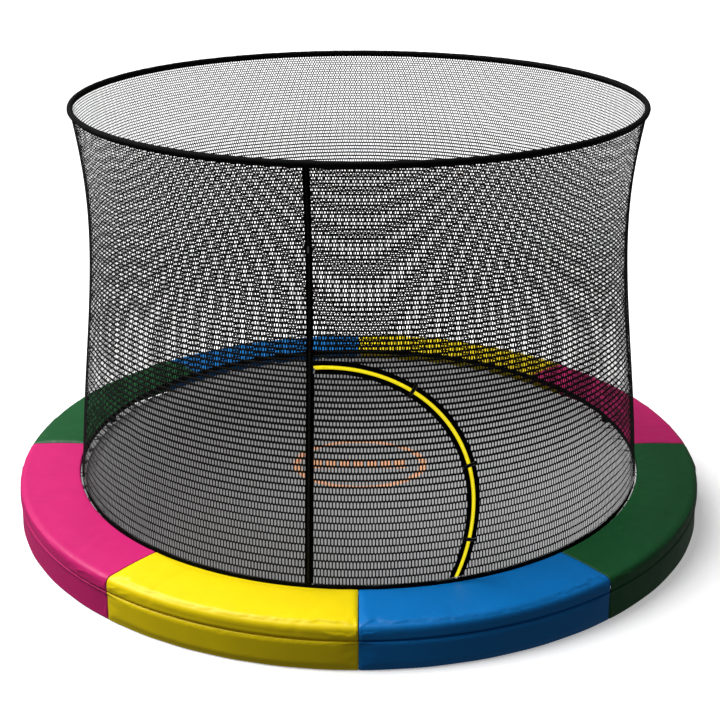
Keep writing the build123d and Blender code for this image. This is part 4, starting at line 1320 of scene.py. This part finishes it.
def pad_cover(index, name, colour):
    """Vinyl cover of one pad: crowned top, rounded shoulder, sewn crease and hanging skirt."""
    first, last = PAD_SEAMS[index], PAD_SEAMS[index + 1]
    r, z = pad_profile().T
    edge = array([0, 0.05, 0.12, 0.24, 0.42, 0.7])
    inside = linspace(first + 1.1, last - 1.1, int((last - first) * 2.9))
    az = concatenate([first + SEAM_GAP + edge, inside, last - SEAM_GAP - edge[::-1]])[:, None]
    from_end = minimum(az - first, last - az) * radians(1) * 1450
    closing = (SEAM_GAP - SKIRT_GAP) * (1 - smooth(z, 120, 130)) * (1 - smooth(from_end, 0, 30))
    toward = where(az < (first + last) / 2, -1, 1)
    points = polar(az + toward * closing, r, z)
    normal = unit(cross(np.gradient(points, axis=1), np.gradient(points, axis=0)))
    count = len(az)
    crease = int(np.argmin(np.abs(z - CREASE_Z) + (r < 1500) * 99))
    pinned = zeros((count, len(z)))
    pinned[:, -3:] = 0.8
    for held in (np.s_[:3, :-3], np.s_[-3:, :-3], np.s_[:, :4], np.s_[:, crease - 1 : crease + 2]):
        pinned[held] = 1
    faces = grid_faces(count, len(z))
    # the face halfway down the list turns the pressure: four pads puff up, four settle on their foam
    corner = points.reshape(-1, 3)[faces[len(faces) // 2]]
    if cross(corner[1] - corner[0], corner[2] - corner[1]) @ normal[count // 2, len(z) // 2] < 0:
        faces = faces[:, ::-1]
    points = puffed(points, faces, pinned, normal)
    round_in = 1 - clip(from_end / ROLL_WIDTH, 0, 1)
    roll = ROLL_DEPTH * (1 - sqrt(1 - round_in**2))
    points = points + normal * (creases(index, count, r, z) - roll)[..., None]
    points[..., :2] *= minimum(1, (OUTER_R + 6) / np.hypot(*points[..., :2].T).T)[..., None]
    points[..., 2] = maximum(points[..., 2], 3.0)
    faces = points, points - normal * VINYL
    slot = f"pad_{colour}"
    cover = shell_piece(f"{name}_cover", *faces, f"vinyl_{colour}", slot)
    row = stitches(points[2:-2, crease] + normal[2:-2, crease] * 0.4 + (0, 0, 5.0), 5.5, 8.0, 1.0)
    fixed(stitching(f"{name}_stitching", [row], f"thread_{colour}", slot))
    return fixed(cover, name)


def foam_block(index):
    """Foam core under a cover: flat under its top, dropping behind the shoulder."""
    first, last = PAD_SEAMS[index] + 0.15, PAD_SEAMS[index + 1] - 0.15
    profile = pad_profile()
    r, z = profile[profile[:, 1] >= 132].T
    inset = r - 2.6 * smooth(r, 1440, 1500) + 2.6 * (1 - smooth(r, 1262, 1275))
    top = column_stack([inset, where(inset < 1400, maximum(z - 2.6, FOAM_UNDER), z - 2.6)])
    under = [(1508.0, 129.4), (1500.0, 129.0), (1497.0, 130.0), (1496.5, 160.0)]
    section = array([*top, *under, (1494.0, FOAM_UNDER), (1300.0, FOAM_UNDER)])
    az = linspace(first, last, 60)[:, None]
    squeeze = 1 - 0.35 * (1 - smooth(minimum(az - first, last - az), 0, 0.25))
    centre = section.mean(0)
    rings = polar(az, *((centre[k] + (section[:, k] - centre[k]) * squeeze) for k in (0, 1)))[:, ::-1]
    block = loft(rings, rings.mean(1)[[0, -1]])
    return fixed(piece(f"foam_core_{index + 1}", *block, "white_foam", "foam"), "foam_cores")


for k, (name, colour) in enumerate(PADS):
    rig.padded(pad_cover(k, name, colour), fill=0.8)
    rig.padded(foam_block(k), fill=1.0)

BACKING_R = (1262.0, 1493.0)


def backing_part(name, first, last):
    az, radius = linspace(first, last, 121), linspace(*BACKING_R, 30)
    sag = 0.25 * sin(radians(az[:, None]) * 24) * sin((radius - 1262) / 231 * pi)
    return slab(name, az, radius, 164.9, 163.0 + sag, "pad_backing_weave", "pad_backing")


# elastic loops from the backing round the rail and back
loop_r = 21.7
turn = radians(linspace(96, 444, 44))
x = [1462.0, 1462.2, *(RAIL_R + loop_r * cos(turn)), 1467.8, 1468.0]
z = [163.3, 161.5, *(RAIL_Z + loop_r * sin(turn)), 161.5, 163.3]
strap_places = [60 * k + 12 * step for k in range(6) for step in (1, 2, 3, 4)]
straps = all_round(ribbon(x, z, 10, 9, 0.6, -0.6), strap_places)
straps = fixed(piece("pad_strap_loops", *straps, "elastic_ribs", "elastic"), "pad_straps")
inner, outer = (r * MM for r in BACKING_R)
backing_flat = (2 * outer * sin(pi / 4), outer - inner * cos(pi / 4))
backing_area = pi * (outer**2 - inner**2) / 4
under = ["pad_strap_loops"]
for k in range(4):
    part = fixed(backing_part(f"pad_backing_{k + 1}", 90 * k, 90 * (k + 1)), "pad_backing")
    go = [straps] if k == 0 else []
    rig.sheet(part, flat=backing_flat, held="stretched", rests_on=under, area=backing_area, with_pieces=go)

# ---- what the sheets of cloth were cut to
LACE_SHARE = 0.58  # cloth in a square metre of the net
PANEL_LEAST = 0.301  # no panel's cloth is put below this share of its flat size
hoop = 2 * pi * HOOP_R * MM
panel_flat = (hoop / NET_PANELS, (NET_HIGH - NET_LOW) * MM)
goes_with = {0: [patches, *zip_pieces["wall"]], NET_PANELS - 1: [*tapes, main_teeth, strip_thread]}
for k, panel in enumerate(panels):
    whole = (panel_of == k).sum() / (panel_of.size / NET_PANELS)
    area = max(PANEL_LEAST, LACE_SHARE * whole) * panel_flat[0] * panel_flat[1]
    go = goes_with.get(k, [])
    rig.sheet(panel, flat=panel_flat, held="hung", rests_on=["hoop_sleeve"], area=area, with_pieces=go)
door_flat = (0.60, 0.85)
door_area = LACE_SHARE * door_flat[0] * door_flat[1]
go = [hem_door, hinge_edge, *zip_pieces["door"]]
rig.sheet(door, flat=door_flat, held="hung", rests_on=["net_panel_1"], area=door_area, with_pieces=go)
hem_flat = (2 * pi * HEM_R * MM, 0.0225)
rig.sheet(hem_wall, flat=hem_flat, held="stretched", rests_on=["hem_clips"], with_pieces=[hem_upper])
sleeve_flat = (hoop, 2 * pi * SLEEVE_R * MM)
go = [flange, flange_thread]
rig.sheet(hoop_sleeve, flat=sleeve_flat, held="stretched", rests_on=["hoop_rods"], with_pieces=go)


# ---- floor, lights, camera
FLOOR_Z = -0.0005
FLOOR_SIZE = 2000.0
WALL_R, WALL_HIGH = 120.0, 60.0  # white wall behind the floor, so that the horizon doesn't show


def staged(name, points, faces, surface, shadow):
    mesh = bpy.data.meshes.new(name)
    mesh.from_pydata(points, [], faces)
    mesh.materials.append(mats[surface])
    obj = added(name, mesh)
    obj.visible_diffuse = obj.visible_glossy = False
    obj.visible_shadow = shadow
    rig.stage(obj)


floor = Surface("pale_floor", 1.0, 0.8, 0.35)  # its glow keeps the shadow on it light
floor.tone(floor.noise(0.4, 2.0), 0.90, 0.92)
corners = [(x * FLOOR_SIZE, y * FLOOR_SIZE, FLOOR_Z) for x, y in ((-1, -1), (1, -1), (1, 1), (-1, 1))]
staged("floor", corners, [(0, 1, 2, 3)], "pale_floor", True)

Surface("white_backdrop", 1.0, 0.9, 1.0)
turn = linspace(0, 2 * pi, 97)[:-1]
wall = stacked(WALL_R * cos(turn), WALL_R * sin(turn), array([[FLOOR_Z], [WALL_HIGH]]))
wall_faces = grid_faces(2, len(turn), False, True)[:, ::-1]
staged("backdrop", wall.reshape(-1, 3).tolist(), wall_faces.tolist(), "white_backdrop", False)

lamp = bpy.data.lights.new("softbox", "SUN")  # large and far: even light over the whole floor
lamp.energy, lamp.angle = 4.5, radians(45)
softbox = added("softbox", lamp)
softbox.rotation_mode = "QUATERNION"
softbox.rotation_quaternion = Vector((0.50, -0.14, -0.85)).to_track_quat("-Z", "Y")

scene = bpy.context.scene
scene.world = bpy.data.worlds.new("studio")
scene.world.use_nodes = True
background = scene.world.node_tree.nodes["Background"]
background.inputs["Color"].default_value = (1, 1, 1, 1)
background.inputs["Strength"].default_value = 0.12
scene.view_settings.view_transform = "Standard"

lens = bpy.data.cameras.new("camera")
lens.lens, lens.sensor_width = 70.4, 36.0
lens.clip_start, lens.clip_end = 0.1, 200.0
scene.camera = added("camera", lens)
scene.camera.location = (0.0055, -5.893, 2.9186)
scene.camera.rotation_euler = (radians(90 - 21.29), 0, 0)

visual_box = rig.bounds()
with open("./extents.json", "w") as out_file:
    json.dump({"cad": [list(c) for c in CAD_BOX], "visual": [list(c) for c in visual_box]}, out_file)
